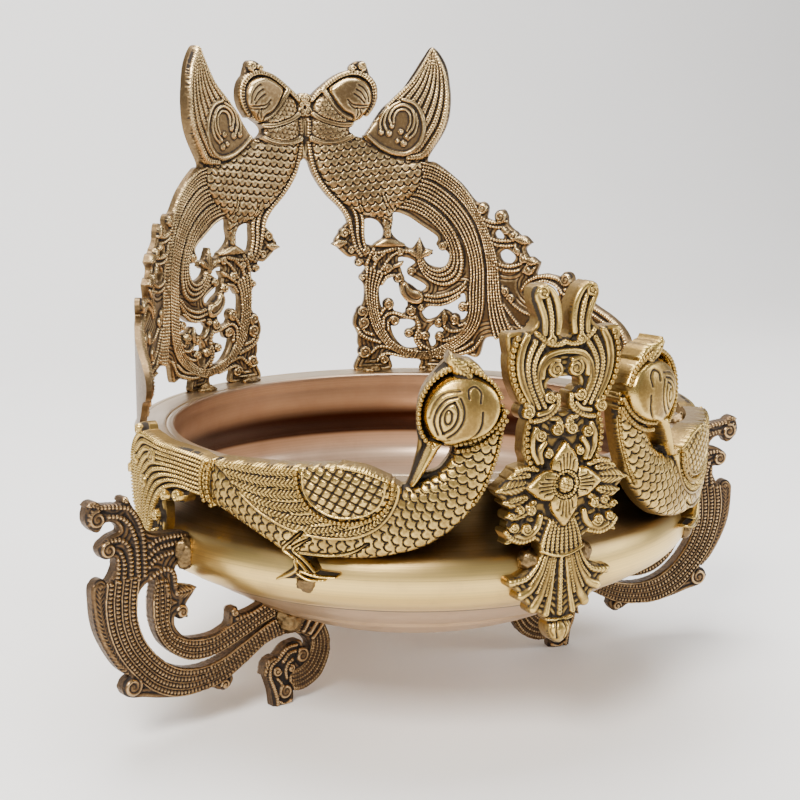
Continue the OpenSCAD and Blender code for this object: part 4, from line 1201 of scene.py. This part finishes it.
def mark_sharp(mesh, rim_points):
    """Keeps the edges between a casting's face, its sides and its back crisp."""
    pairs = np.zeros(len(mesh.edges) * 2, np.int32)
    mesh.edges.foreach_get("vertices", pairs)
    ends = rim_points[pairs.reshape(-1, 2)]
    sharp = (ends[:, 0] > 0) & (ends[:, 0] == ends[:, 1])
    flag = mesh.attributes.new("sharp_edge", "BOOLEAN", "EDGE")
    flag.data.foreach_set("value", sharp)


def cast_mesh(name, drawing, place, back_of=None, two_faced=False):
    """The closed mesh of a casting: its relief, its sides and its back.

    The back is plain, or shaped by back_of. A two-faced casting has its relief on both sides instead.
    """
    edge = drawing.edge
    kept = (edge[:-1, :-1] + edge[1:, :-1] + edge[:-1, 1:] + edge[1:, 1:]) < 0
    kept &= drawing.V[1:, 1:] > -RIM_Z
    u, v, used, rim = snapped(drawing, kept)
    front = np.full(edge.shape, -1)
    front[used] = np.arange(used.sum())
    back = np.full(edge.shape, -1)
    back[used] = np.arange(used.sum()) + used.sum()
    lower = np.maximum(drawing.ground, drawing.height - EDGE_DROP)
    height = np.where(rim, np.minimum(drawing.height, lower), drawing.height)
    if two_faced:
        behind = -height
        rings, fine = [], kept
    else:
        behind = back_of(u, v) if back_of else np.zeros(u.shape)
        rings, fine = coarse_back(kept, rim)
    points = np.vstack([place(u[used], v[used], height[used]), place(u[used], v[used], behind[used])])
    back_fine = quads_of(fine, back)[:, ::-1]
    back_rings = [[int(back[p]) for p in ring][::-1] for ring in rings]
    starts, corners = face_arrays(quads_of(kept, front), wall_quads(kept, front, back), back_fine,
                                  back_rings)
    relief = height - softened(height, used, max(2, round(RELIEF_BLUR / drawing.cell)))
    relief = np.where(rim, 0.0, relief)[used]
    values = np.concatenate([relief, relief if two_faced else np.zeros(len(relief))])
    rims = np.concatenate([np.where(rim[used], 1, 0), np.where(rim[used], 2, 0)])
    in_use = np.zeros(len(points), bool)
    in_use[corners] = True
    renumber = np.cumsum(in_use) - 1
    mesh = mesh_from(name, points[in_use], starts, renumber[corners].astype(np.int32))
    attribute = mesh.attributes.new("relief", "FLOAT", "POINT")
    attribute.data.foreach_set("value", values[in_use].astype(np.float32))
    mark_sharp(mesh, rims[in_use])
    outward(mesh)
    mesh.polygons.foreach_set("use_smooth", np.ones(len(mesh.polygons), bool))
    return mesh


def swan_back(u, v):
    """A swan's back is plain, but its head swells inwards and the bowl's shoulder presses in."""
    r = np.hypot((u - SWAN_HEAD_AT[0]) / 0.9, v - SWAN_HEAD_AT[1]) / SWAN_HEAD_R
    head = -SWAN_HEAD_BACK * np.sqrt(np.clip(1 - r ** 2, 0, 1))
    return np.maximum(head, np.where(v < FITTED_BELOW, bowl_radius(v) - LET_IN - SWAN_BACK_R, head))


def crest_back(u, v):
    """The crest's plain back, fitted against the bowl's shoulder."""
    shoulder = np.sqrt(np.maximum((bowl_radius(v) - LET_IN) ** 2 - u ** 2, 0)) - CREST_BACK_Y
    return np.where(v < FITTED_BELOW, np.maximum(shoulder * (bowl_radius(v) > 0), 0), 0)


# ---- Geometry Nodes ----

BEAD_SPACING = 1.86  # from bead to bead, in bead radii
BEAD_RELIEF = 0.3  # how far beads count as standing out, which keeps them rubbed bright


class Tree:
    """A node tree with short ways to add nodes and link them."""

    def __init__(self, name, kind="GeometryNodeTree"):
        self.tree = bpy.data.node_groups.new(name, kind)
        self.nodes, self.links = self.tree.nodes, self.tree.links

    def socket(self, name, kind, default=None, out=False):
        """Adds an input, or an output, to the tree."""
        item = self.tree.interface.new_socket(name, in_out="OUTPUT" if out else "INPUT", socket_type=kind)
        if default is not None:
            item.default_value = default
        return item

    def add(self, kind, settings=None, **inputs):
        return add_node(self.nodes, self.links, kind, settings, **inputs)


def supply(links, socket, value):
    """Links an input to another socket, or gives it a value."""
    if isinstance(value, bpy.types.NodeSocket):
        links.new(value, socket)
    else:
        socket.default_value = value


def add_node(nodes, links, kind, settings=None, **inputs):
    """A node with its properties set.

    Inputs go by name, or by number as i0, i1 and so on. Each is a value or another node's socket.
    """
    node = nodes.new(kind)
    for key, value in (settings or {}).items():
        setattr(node, key, value)
    for key, value in inputs.items():
        numbered = key[0] == "i" and key[1:].isdigit()
        supply(links, node.inputs[int(key[1:]) if numbered else key.replace("_", " ")], value)
    return node


def maths(t, operation, *values):
    """The result of one operation on numbers and sockets."""
    inputs = {f"i{k}": value for k, value in enumerate(values)}
    return t.add("ShaderNodeMath", {"operation": operation}, **inputs).outputs[0]


def baked_by_nodes(name, mesh, tree, inputs):
    """The plain mesh that a Geometry Nodes tree makes of mesh."""
    start = bpy.data.objects.new(name, mesh)
    bpy.context.scene.collection.objects.link(start)
    modifier = start.modifiers.new("Nodes", "NODES")
    modifier.node_group = tree
    identifiers = {item.name: item.identifier for item in tree.interface.items_tree if item.in_out == "INPUT"}
    for key, value in inputs.items():
        modifier[identifiers[key]] = value
    depsgraph = bpy.context.evaluated_depsgraph_get()
    result = bpy.data.meshes.new_from_object(start.evaluated_get(depsgraph))
    bpy.data.objects.remove(start)
    result.name = name
    return result


def bead_tree():
    """Round beads set in a row along each line of a mesh."""
    t = Tree("Bead strings")
    t.socket("Lines", "NodeSocketGeometry")
    t.socket("Spacing", "NodeSocketFloat", 0.0024)
    t.socket("Rubbed", "NodeSocketFloat", 0.6)
    t.socket("Metal", "NodeSocketMaterial")
    t.socket("Beads", "NodeSocketGeometry", out=True)
    given = t.add("NodeGroupInput")
    curve = t.add("GeometryNodeMeshToCurve", Mesh=given.outputs["Lines"])
    rows = t.add("GeometryNodeResampleCurve", {"mode": "LENGTH"}, Curve=curve.outputs[0],
                 Length=given.outputs["Spacing"])
    bead = t.add("GeometryNodeMeshUVSphere", Segments=9, Rings=6, Radius=1.0)
    size = t.add("GeometryNodeInputNamedAttribute", {"data_type": "FLOAT"}, Name="bead_size")
    placed = t.add("GeometryNodeInstanceOnPoints", Points=rows.outputs[0], Instance=bead.outputs[0],
                   Scale=size.outputs[0])
    real = t.add("GeometryNodeRealizeInstances", Geometry=placed.outputs[0])
    smooth = t.add("GeometryNodeSetShadeSmooth", Geometry=real.outputs[0])
    rubbed = t.add("GeometryNodeStoreNamedAttribute", {"data_type": "FLOAT", "domain": "POINT"},
                   Geometry=smooth.outputs[0], Name="relief", Value=given.outputs["Rubbed"])
    done = t.add("GeometryNodeSetMaterial", Geometry=rubbed.outputs[0], Material=given.outputs["Metal"])
    t.add("NodeGroupOutput", i0=done.outputs[0])
    return t.tree


def beading(name, drawing, place, tree, metal):
    """The separate round beads of a casting's beaded borders."""
    points, edges, sizes = [], [], []
    for path, radius, top in drawing.strings:
        first = len(points)
        points.extend(place(path[:, 0], path[:, 1], np.full(len(path), top - radius)))
        sizes.extend([radius * MM] * len(path))
        edges.extend((k, k + 1) for k in range(first, len(points) - 1))
    mesh = bpy.data.meshes.new(name)
    mesh.from_pydata([tuple(p) for p in points], edges, [])
    size = mesh.attributes.new("bead_size", "FLOAT", "POINT")
    size.data.foreach_set("value", sizes)
    spacing = drawing.strings[0][1] * BEAD_SPACING * MM
    return baked_by_nodes(name, mesh, tree, {"Spacing": spacing, "Rubbed": BEAD_RELIEF, "Metal": metal})


# ---- Turned bowl ----

def turning_tree():
    """A shape turned on a lathe: a line of points, swung round the axis."""
    t = Tree("Turned shape")
    t.socket("Section", "NodeSocketGeometry")
    t.socket("Sides", "NodeSocketInt", 240)
    t.socket("Section Points", "NodeSocketInt", 100)
    t.socket("Metal", "NodeSocketMaterial")
    t.socket("Shape", "NodeSocketGeometry", out=True)
    given = t.add("NodeGroupInput")
    count = given.outputs["Section Points"]
    steps = maths(t, "ADD", given.outputs["Sides"], 1.0)
    grid = t.add("GeometryNodeMeshGrid", Size_X=1.0, Size_Y=1.0, Vertices_X=steps, Vertices_Y=count)
    at = t.add("GeometryNodeInputPosition")
    part = t.add("ShaderNodeSeparateXYZ", Vector=at.outputs[0])
    angle = maths(t, "MULTIPLY", part.outputs["X"], 2 * math.pi)
    along = maths(t, "ADD", part.outputs["Y"], 0.5)
    index = maths(t, "ROUND", maths(t, "MULTIPLY", along, maths(t, "SUBTRACT", count, 1.0)))
    section = t.add("GeometryNodeSampleIndex", {"data_type": "FLOAT_VECTOR", "domain": "POINT"},
                    Geometry=given.outputs["Section"], Value=at.outputs[0], Index=index)
    inside = t.add("GeometryNodeInputNamedAttribute", {"data_type": "FLOAT"}, Name="inside")
    lining = t.add("GeometryNodeSampleIndex", {"data_type": "FLOAT", "domain": "POINT"},
                   Geometry=given.outputs["Section"], Value=inside.outputs[0], Index=index)
    point = t.add("ShaderNodeSeparateXYZ", Vector=section.outputs[0])
    radius = point.outputs["X"]
    x = maths(t, "MULTIPLY", radius, maths(t, "COSINE", angle))
    y = maths(t, "ADD", maths(t, "MULTIPLY", radius, maths(t, "SINE", angle)), AXIS_Y * MM)
    place = t.add("ShaderNodeCombineXYZ", X=x, Y=y, Z=point.outputs["Z"])
    noted = t.add("GeometryNodeStoreNamedAttribute", {"data_type": "FLOAT", "domain": "POINT"},
                  Geometry=grid.outputs[0], Name="inside", Value=lining.outputs[0])
    turned = t.add("GeometryNodeSetPosition", Geometry=noted.outputs[0], Position=place.outputs[0])
    closed = t.add("GeometryNodeMergeByDistance", Geometry=turned.outputs[0], Distance=1e-5)
    smooth = t.add("GeometryNodeSetShadeSmooth", Geometry=closed.outputs[0])
    real = t.add("GeometryNodeRealizeInstances", Geometry=smooth.outputs[0])
    done = t.add("GeometryNodeSetMaterial", Geometry=real.outputs[0], Material=given.outputs["Metal"])
    t.add("NodeGroupOutput", i0=done.outputs[0])
    return t.tree


def turned_bowl(metal):
    """The bowl, and a note on each of its points of whether it is inside."""
    section, inside = bowl_profile()
    points = [(r * MM, 0, (v + RIM_Z) * MM) for r, v in section]
    mesh = bpy.data.meshes.new("bowl section")
    mesh.from_pydata(points, [(k, k + 1) for k in range(len(points) - 1)], [])
    lining = mesh.attributes.new("inside", "FLOAT", "POINT")
    lining.data.foreach_set("value", inside.astype(np.float32))
    settings = {"Sides": 240, "Section Points": len(points), "Metal": metal}
    result = baked_by_nodes("turned_bowl", mesh, turning_tree(), settings)
    outward(result)
    result.set_sharp_from_angle(angle=math.radians(40))
    return result


# ---- Brazing metal ----

LUMP_VOXEL = 0.0011
LUMP_UNEVEN = 0.0032  # metres by which a lump's surface rises or falls


def melted(node):
    """A lump of brazing metal: the CAD lump, rounded off and made uneven."""
    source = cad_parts[node].data
    shell = bmesh.new()
    shell.from_mesh(source)
    bmesh.ops.remove_doubles(shell, verts=shell.verts, dist=1e-5)
    mesh = bpy.data.meshes.new(node + "_lump")
    shell.to_mesh(mesh)
    shell.free()
    lump = bpy.data.objects.new(node + "_lump", mesh)
    bpy.context.scene.collection.objects.link(lump)
    remesh = lump.modifiers.new("Remesh", "REMESH")
    remesh.mode = "VOXEL"
    remesh.voxel_size = LUMP_VOXEL
    soften = lump.modifiers.new("Soften", "SMOOTH")
    soften.iterations = 6
    depsgraph = bpy.context.evaluated_depsgraph_get()
    result = bpy.data.meshes.new_from_object(lump.evaluated_get(depsgraph))
    bpy.data.objects.remove(lump)
    relief = []
    for vertex in result.vertices:
        rise = 0.9 * noise.noise(vertex.co * 110) + 0.4 * noise.noise(vertex.co * 330)
        vertex.co += vertex.normal * (rise + 0.2) * LUMP_UNEVEN
        relief.append(0.35 * rise + 0.1)
    mark = result.attributes.new("relief", "FLOAT", "POINT")
    mark.data.foreach_set("value", relief)
    result.polygons.foreach_set("use_smooth", np.ones(len(result.polygons), bool))
    return result


# ---- Materials ----

# The rubbed, worn and recess tones of each cast metal; the recess tone is dark tarnish together with painted
# shade.
SWAN_TONES = ((0.76, 0.53, 0.165), (0.25, 0.155, 0.045), (0.024, 0.015, 0.007))
PEACOCK_TONES = ((0.86, 0.63, 0.31), (0.17, 0.108, 0.05), (0.020, 0.013, 0.008))
LEG_TONES = ((0.56, 0.375, 0.185), (0.135, 0.08, 0.039), (0.015, 0.009, 0.006))
BRAZE_TONES = ((0.38, 0.255, 0.11), (0.17, 0.108, 0.048), (0.04, 0.027, 0.015))


class Material:
    """A node material with short ways to add nodes."""

    def __init__(self, name):
        self.material = bpy.data.materials.new(name)
        self.material.use_nodes = True
        self.nodes, self.links = self.material.node_tree.nodes, self.material.node_tree.links
        self.shader = next(n for n in self.nodes if n.type == "BSDF_PRINCIPLED")

    def add(self, kind, settings=None, **inputs):
        return add_node(self.nodes, self.links, kind, settings, **inputs)

    def group(self, tree, **inputs):
        """A node group with its inputs set."""
        node = self.nodes.new("ShaderNodeGroup")
        node.node_tree = tree
        for key, value in inputs.items():
            node.inputs[key.replace("_", " ")].default_value = value
        return node

    def feed(self, **sources):
        """Sets the surface's inputs, each to a value or to a socket."""
        for key, value in sources.items():
            supply(self.links, self.shader.inputs[key.replace("_", " ")], value)


def mixed(t, factor, a, b):
    """The colour between a and b by factor."""
    return t.add("ShaderNodeMix", {"data_type": "RGBA"}, i0=factor, i6=a, i7=b).outputs[2]


def ranged(t, value, low, high, to_low=0.0, to_high=1.0):
    """value eased from the range low to high into the range to_low to to_high."""
    return t.add("ShaderNodeMapRange", {"interpolation_type": "SMOOTHSTEP"}, Value=value, From_Min=low,
                 From_Max=high, To_Min=to_low, To_Max=to_high).outputs[0]


def cast_patina_and_shade_group():
    """Old cast brass: rubbed bright on the high parts, brown between them and black in the recesses, which is
    dark tarnish together with painted shade.
    """
    t = Tree("Cast patina", "ShaderNodeTree")
    t.socket("Rubbed", "NodeSocketColor", (0.8, 0.6, 0.3, 1))
    t.socket("Worn", "NodeSocketColor", (0.5, 0.35, 0.15, 1))
    t.socket("Recess", "NodeSocketColor", (0.04, 0.03, 0.02, 1))
    t.socket("Dirt", "NodeSocketFloat", 0.0)
    t.socket("Grain", "NodeSocketFloat", 0.3)
    for name, kind in (("Color", "NodeSocketColor"), ("Roughness", "NodeSocketFloat"),
                       ("Metallic", "NodeSocketFloat"), ("Normal", "NodeSocketVector")):
        t.socket(name, kind, out=True)
    given = t.add("NodeGroupInput")
    at = t.add("ShaderNodeTexCoord").outputs["Object"]
    relief = t.add("ShaderNodeAttribute", {"attribute_name": "relief"}).outputs["Fac"]
    blotch = t.add("ShaderNodeTexNoise", Vector=at, Scale=38.0, Detail=4.0, Roughness=0.6).outputs["Fac"]
    speck = t.add("ShaderNodeTexNoise", Vector=at, Scale=420.0, Detail=3.0, Roughness=0.65).outputs["Fac"]
    centred = maths(t, "MULTIPLY_ADD", speck, 0.8, -0.4)
    uneven = maths(t, "ADD", relief, centred)
    # Shifts more of the surface into the darker tones: grime together with painted shade.
    lifted = maths(t, "SUBTRACT", uneven, given.outputs["Dirt"])
    high = ranged(t, lifted, -0.05, 0.6)
    # Recesses go black: dark tarnish, and painted shade where little light would reach.
    recess_patina_and_shade = ranged(t, lifted, -0.02, -0.52)
    tone = ranged(t, blotch, 0.35, 0.7, 0.0, 0.6)
    base = mixed(t, high, given.outputs["Worn"], given.outputs["Rubbed"])
    toned = mixed(t, tone, base, given.outputs["Worn"])
    colour = mixed(t, recess_patina_and_shade, toned, given.outputs["Recess"])
    rough_a = maths(t, "MULTIPLY_ADD", high, -0.16, 0.40)
    rough_b = maths(t, "MULTIPLY_ADD", recess_patina_and_shade, 0.3, rough_a)
    metallic = maths(t, "MULTIPLY_ADD", recess_patina_and_shade, -0.6, 1.0)
    bump = t.add("ShaderNodeBump", Strength=given.outputs["Grain"], Distance=0.0006,
                 Height=speck).outputs[0]
    t.add("NodeGroupOutput", Color=colour, Roughness=rough_b, Metallic=metallic, Normal=bump)
    return t.tree


def turning_marks_group():
    """Fine rings left by turning, and cloudy tarnish over them."""
    t = Tree("Turning marks", "ShaderNodeTree")
    t.socket("Ring Scale", "NodeSocketFloat", 900.0)
    t.socket("Ring Depth", "NodeSocketFloat", 0.25)
    for name, kind in (
            ("Rings", "NodeSocketFloat"), ("Tarnish", "NodeSocketFloat"), ("Height", "NodeSocketFloat"),
            ("Normal", "NodeSocketVector")):
        t.socket(name, kind, out=True)
    given = t.add("NodeGroupInput")
    at = t.add("ShaderNodeTexCoord").outputs["Object"]
    centred = t.add("ShaderNodeVectorMath", {"operation": "SUBTRACT"}, i0=at,
                    i1=(0, AXIS_Y * MM, 0)).outputs[0]
    part = t.add("ShaderNodeSeparateXYZ", Vector=centred)
    flat = t.add("ShaderNodeCombineXYZ", X=part.outputs["X"], Y=part.outputs["Y"]).outputs[0]
    radius = t.add("ShaderNodeVectorMath", {"operation": "LENGTH"}, i0=flat).outputs["Value"]
    section = t.add("ShaderNodeCombineXYZ", X=radius, Y=part.outputs["Z"]).outputs[0]
    rings = t.add("ShaderNodeTexNoise", Vector=section, Scale=given.outputs["Ring Scale"], Detail=3.0,
                  Roughness=0.7).outputs["Fac"]
    tarnish = t.add("ShaderNodeTexNoise", Vector=at, Scale=14.0, Detail=6.0, Roughness=0.62).outputs["Fac"]
    bump = t.add("ShaderNodeBump", Strength=given.outputs["Ring Depth"], Distance=0.0005,
                 Height=rings).outputs[0]
    t.add("NodeGroupOutput", Rings=rings, Tarnish=tarnish, Height=part.outputs["Z"], Normal=bump)
    return t.tree


def cast_brass(name, patina_and_shade, tones, dirt_and_shade, grain=0.35):
    """Old cast brass in three tones, with more or less grime and painted shade in its hollows."""
    m = Material(name)
    rubbed, worn, recess = tones
    look = m.group(patina_and_shade, Rubbed=(*rubbed, 1), Worn=(*worn, 1), Recess=(*recess, 1), Dirt=dirt_and_shade,
                   Grain=grain)
    others = {key: look.outputs[key] for key in ("Roughness", "Metallic", "Normal")}
    m.feed(Base_Color=look.outputs["Color"], **others)
    return m.material


# Tones of the bowl: its outside first, then its inside, then the marks of turning.
OUTSIDE_LOW, OUTSIDE_HIGH = (0.74, 0.53, 0.33, 1), (0.86, 0.61, 0.20, 1)
# Painted shade and painted dark reflection on the outside neck under the swans.
PAINTED_NECK_SHADE = (0.13, 0.078, 0.03, 1)
# A thin painted shade line along the crease.
PAINTED_CREASE_SHADE = (0.13, 0.075, 0.035, 1)
STAIN = (0.44, 0.28, 0.14, 1)
FLAT_RIM = (0.50, 0.38, 0.25, 1)
INSIDE_WALL, INSIDE_FLOOR = (0.51, 0.36, 0.25, 1), (0.66, 0.47, 0.33, 1)
BLOTCH = (0.36, 0.21, 0.14, 1)
# Painted shadow on the inside wall under the rim.
PAINTED_RIM_SHADOW = (0.035, 0.009, 0.003, 1)
TURNING_LINES = (0.30, 0.2, 0.12, 1)


def turned_brass(marks):
    """The bowl: yellow satin outside, coppery inside, with a painted shadow as a dark band on the wall under
    the rim, painted shade on the outside neck and a thin painted shade line at the shoulder.
    """
    m = Material("turned brass")
    look = m.group(marks, Ring_Scale=900.0, Ring_Depth=0.22)
    inside = m.add("ShaderNodeAttribute", {"attribute_name": "inside"}).outputs["Fac"]
    rings, tarnish, height = (look.outputs[k] for k in ("Rings", "Tarnish", "Height"))

    def between_depths(first, last, most=1.0):
        """Rises from 0 to most between two depths below the rim, in millimetres."""
        return ranged(m, height, (RIM_Z - first) * MM, (RIM_Z - last) * MM, 0.0, most)

    yellow = mixed(m, between_depths(100, 88), OUTSIDE_LOW, OUTSIDE_HIGH)
    # Painted shade: the outside neck is darkened from 66 mm below the rim upwards, as if in shadow under the
    # swans.
    neck = mixed(m, between_depths(66, 50, 0.95), yellow, PAINTED_NECK_SHADE)
    # Painted shade: a thin dark line along the crease under the shoulder, 95.5 mm below the rim.
    crease = maths(m, "COMPARE", height, (RIM_Z - 95.5) * MM, 0.0011)
    with_crease_shade = mixed(m, crease, neck, PAINTED_CREASE_SHADE)
    stained = mixed(m, ranged(m, tarnish, 0.45, 0.7, 0.0, 0.55), with_crease_shade, STAIN)
    outer = mixed(m, between_depths(4.6, 3.6), stained, FLAT_RIM)
    floor = between_depths(55, 60)
    copper = mixed(m, floor, INSIDE_WALL, INSIDE_FLOOR)
    blotched = mixed(m, ranged(m, tarnish, 0.45, 0.7, 0.0, 0.4), copper, BLOTCH)
    whole = mixed(m, inside, outer, blotched)
    shaded = mixed(m, ranged(m, rings, 0.35, 0.65, 0.0, 0.22), whole, TURNING_LINES)
    # Painted shadow: a dark band on the inside wall, from about 22 to 60 mm below the rim.
    band = maths(m, "MULTIPLY", between_depths(22, 38), between_depths(60, 55))
    with_rim_shadow = mixed(m, maths(m, "MULTIPLY", band, inside), shaded, PAINTED_RIM_SHADOW)
    dull = maths(m, "MULTIPLY", floor, inside)
    m.feed(Base_Color=with_rim_shadow, Roughness=maths(m, "MULTIPLY_ADD", tarnish, 0.3, 0.2),
           Metallic=maths(m, "MULTIPLY_ADD", dull, -0.5, 1.0), Normal=look.outputs["Normal"])
    return m.material


def floor_material():
    """A pale floor, very slightly cloudy."""
    m = Material("pale floor")
    at = m.add("ShaderNodeTexCoord").outputs["Object"]
    cloud = m.add("ShaderNodeTexNoise", Vector=at, Scale=3.0, Detail=2.0).outputs["Fac"]
    m.feed(Base_Color=mixed(m, cloud, (0.92, 0.90, 0.875, 1), (0.95, 0.935, 0.92, 1)), Roughness=0.7)
    return m.material


# ---- Putting the pieces in place ----

def piece(name, mesh, metal, stands_for=None):
    """One finished piece, which rides on the body and may stand for a CAD node."""
    made = bpy.data.objects.new(name, mesh)
    bpy.context.scene.collection.objects.link(made)
    if not mesh.materials:
        mesh.materials.append(metal)
    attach(made, BODY)
    if stands_for:
        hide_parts(stands_for)
    return made


def light(name, at, aim, size, watts, colour=(1, 1, 1)):
    """A square lamp, aimed at a point."""
    data = bpy.data.lights.new(name, "AREA")
    data.shape, data.size, data.energy, data.color = "SQUARE", size, watts, colour
    lamp = bpy.data.objects.new(name, data)
    bpy.context.scene.collection.objects.link(lamp)
    lamp.location = at
    lamp.rotation_euler = (Vector(aim) - Vector(at)).to_track_quat("-Z", "Y").to_euler()


def studio():
    """A plain pale floor that curves up behind, and soft light."""
    start, radius = 1.4, 0.9
    rows = [(-6, 0), (start, 0)]
    for a in np.linspace(0.15, math.pi / 2, 12):
        rows.append((start + radius * math.sin(a), radius - radius * math.cos(a)))
    rows.append((start + radius, 4))
    points = [(x, y, z - 0.0002) for y, z in rows for x in (-6, 6)]
    faces = [(2 * k, 2 * k + 1, 2 * k + 3, 2 * k + 2) for k in range(len(rows) - 1)]
    mesh = bpy.data.meshes.new("floor")
    mesh.from_pydata(points, [], faces)
    mesh.polygons.foreach_set("use_smooth", np.ones(len(faces), bool))
    mesh.materials.append(floor_material())
    floor = bpy.data.objects.new("floor", mesh)
    bpy.context.scene.collection.objects.link(floor)
    world = bpy.data.worlds.new("studio")
    world.use_nodes = True
    sky = world.node_tree.nodes["Background"]
    sky.inputs["Color"].default_value = (0.95, 0.96, 1.0, 1)
    sky.inputs["Strength"].default_value = 0.42
    bpy.context.scene.world = world
    light("key", (-1.6, -1.6, 2.2), (0, 0, 0.15), 1.0, 120, (1, 0.97, 0.92))
    light("fill", (1.9, -1.2, 1.1), (0, 0, 0.15), 1.2, 26, (0.95, 0.97, 1))
    light("top", (0.1, 0.5, 2.4), (0, 0, 0.1), 1.8, 100)


EYE = (-0.5758, -1.1622, 0.4724)
LOOKS_AT = (-0.0081, -0.0281, 0.2171)
TILT = 0.18  # degrees by which the view leans


def camera():
    data = bpy.data.cameras.new("camera")
    data.lens, data.sensor_width = 74.3, 36  # millimetres
    view = bpy.data.objects.new("camera", data)
    bpy.context.scene.collection.objects.link(view)
    view.location = EYE
    aim = Vector(LOOKS_AT) - view.location
    view.rotation_euler = aim.to_track_quat("-Z", "Y").to_euler()
    view.rotation_euler.rotate_axis("Z", math.radians(TILT))
    bpy.context.scene.camera = view


def build():
    """Every piece of the part, with its finish."""
    patina_and_shade = cast_patina_and_shade_group()
    swan_brass = cast_brass("swan brass", patina_and_shade, SWAN_TONES, 0.08)
    peacock_brass = cast_brass("peacock brass", patina_and_shade, PEACOCK_TONES, 0.03)
    leg_brass = cast_brass("leg brass", patina_and_shade, LEG_TONES, 0.2)
    braze = cast_brass("brazing metal", patina_and_shade, BRAZE_TONES, 0.0, 0.6)
    beads = bead_tree()

    piece("turned_bowl", turned_bowl(turned_brass(turning_marks_group())), None, "bowl")
    drawing = draw_peacock()
    for side, node in ((1, "peacock_right"), (-1, "peacock_left")):
        place = peacock_place(side)
        piece(node + "_casting", cast_mesh(node, drawing, place), peacock_brass, node)
    drawing = draw_swan()
    for side, node in ((1, "swan_right"), (-1, "swan_left")):
        place = swan_place(side)
        piece(node + "_casting", cast_mesh(node, drawing, place, swan_back), swan_brass, node)
        string = beading(node + "_beading", drawing, place, beads, swan_brass)
        piece(node + "_beading", string, swan_brass)
    drawing = draw_crest()
    piece("crest_casting", cast_mesh("crest", drawing, crest_place, crest_back), swan_brass,
          "crest")
    string = beading("crest_beading", drawing, crest_place, beads, swan_brass)
    piece("crest_beading", string, swan_brass)
    drawing = draw_leg()
    for node, angle in LEG_ANGLES.items():
        mesh = cast_mesh(node, drawing, leg_place(angle), two_faced=True)
        piece(node + "_casting", mesh, leg_brass, node)
    for node in sorted(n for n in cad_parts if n.endswith("_braze")):
        piece(node + "_lump", melted(node), braze, node)


build()
studio()
camera()
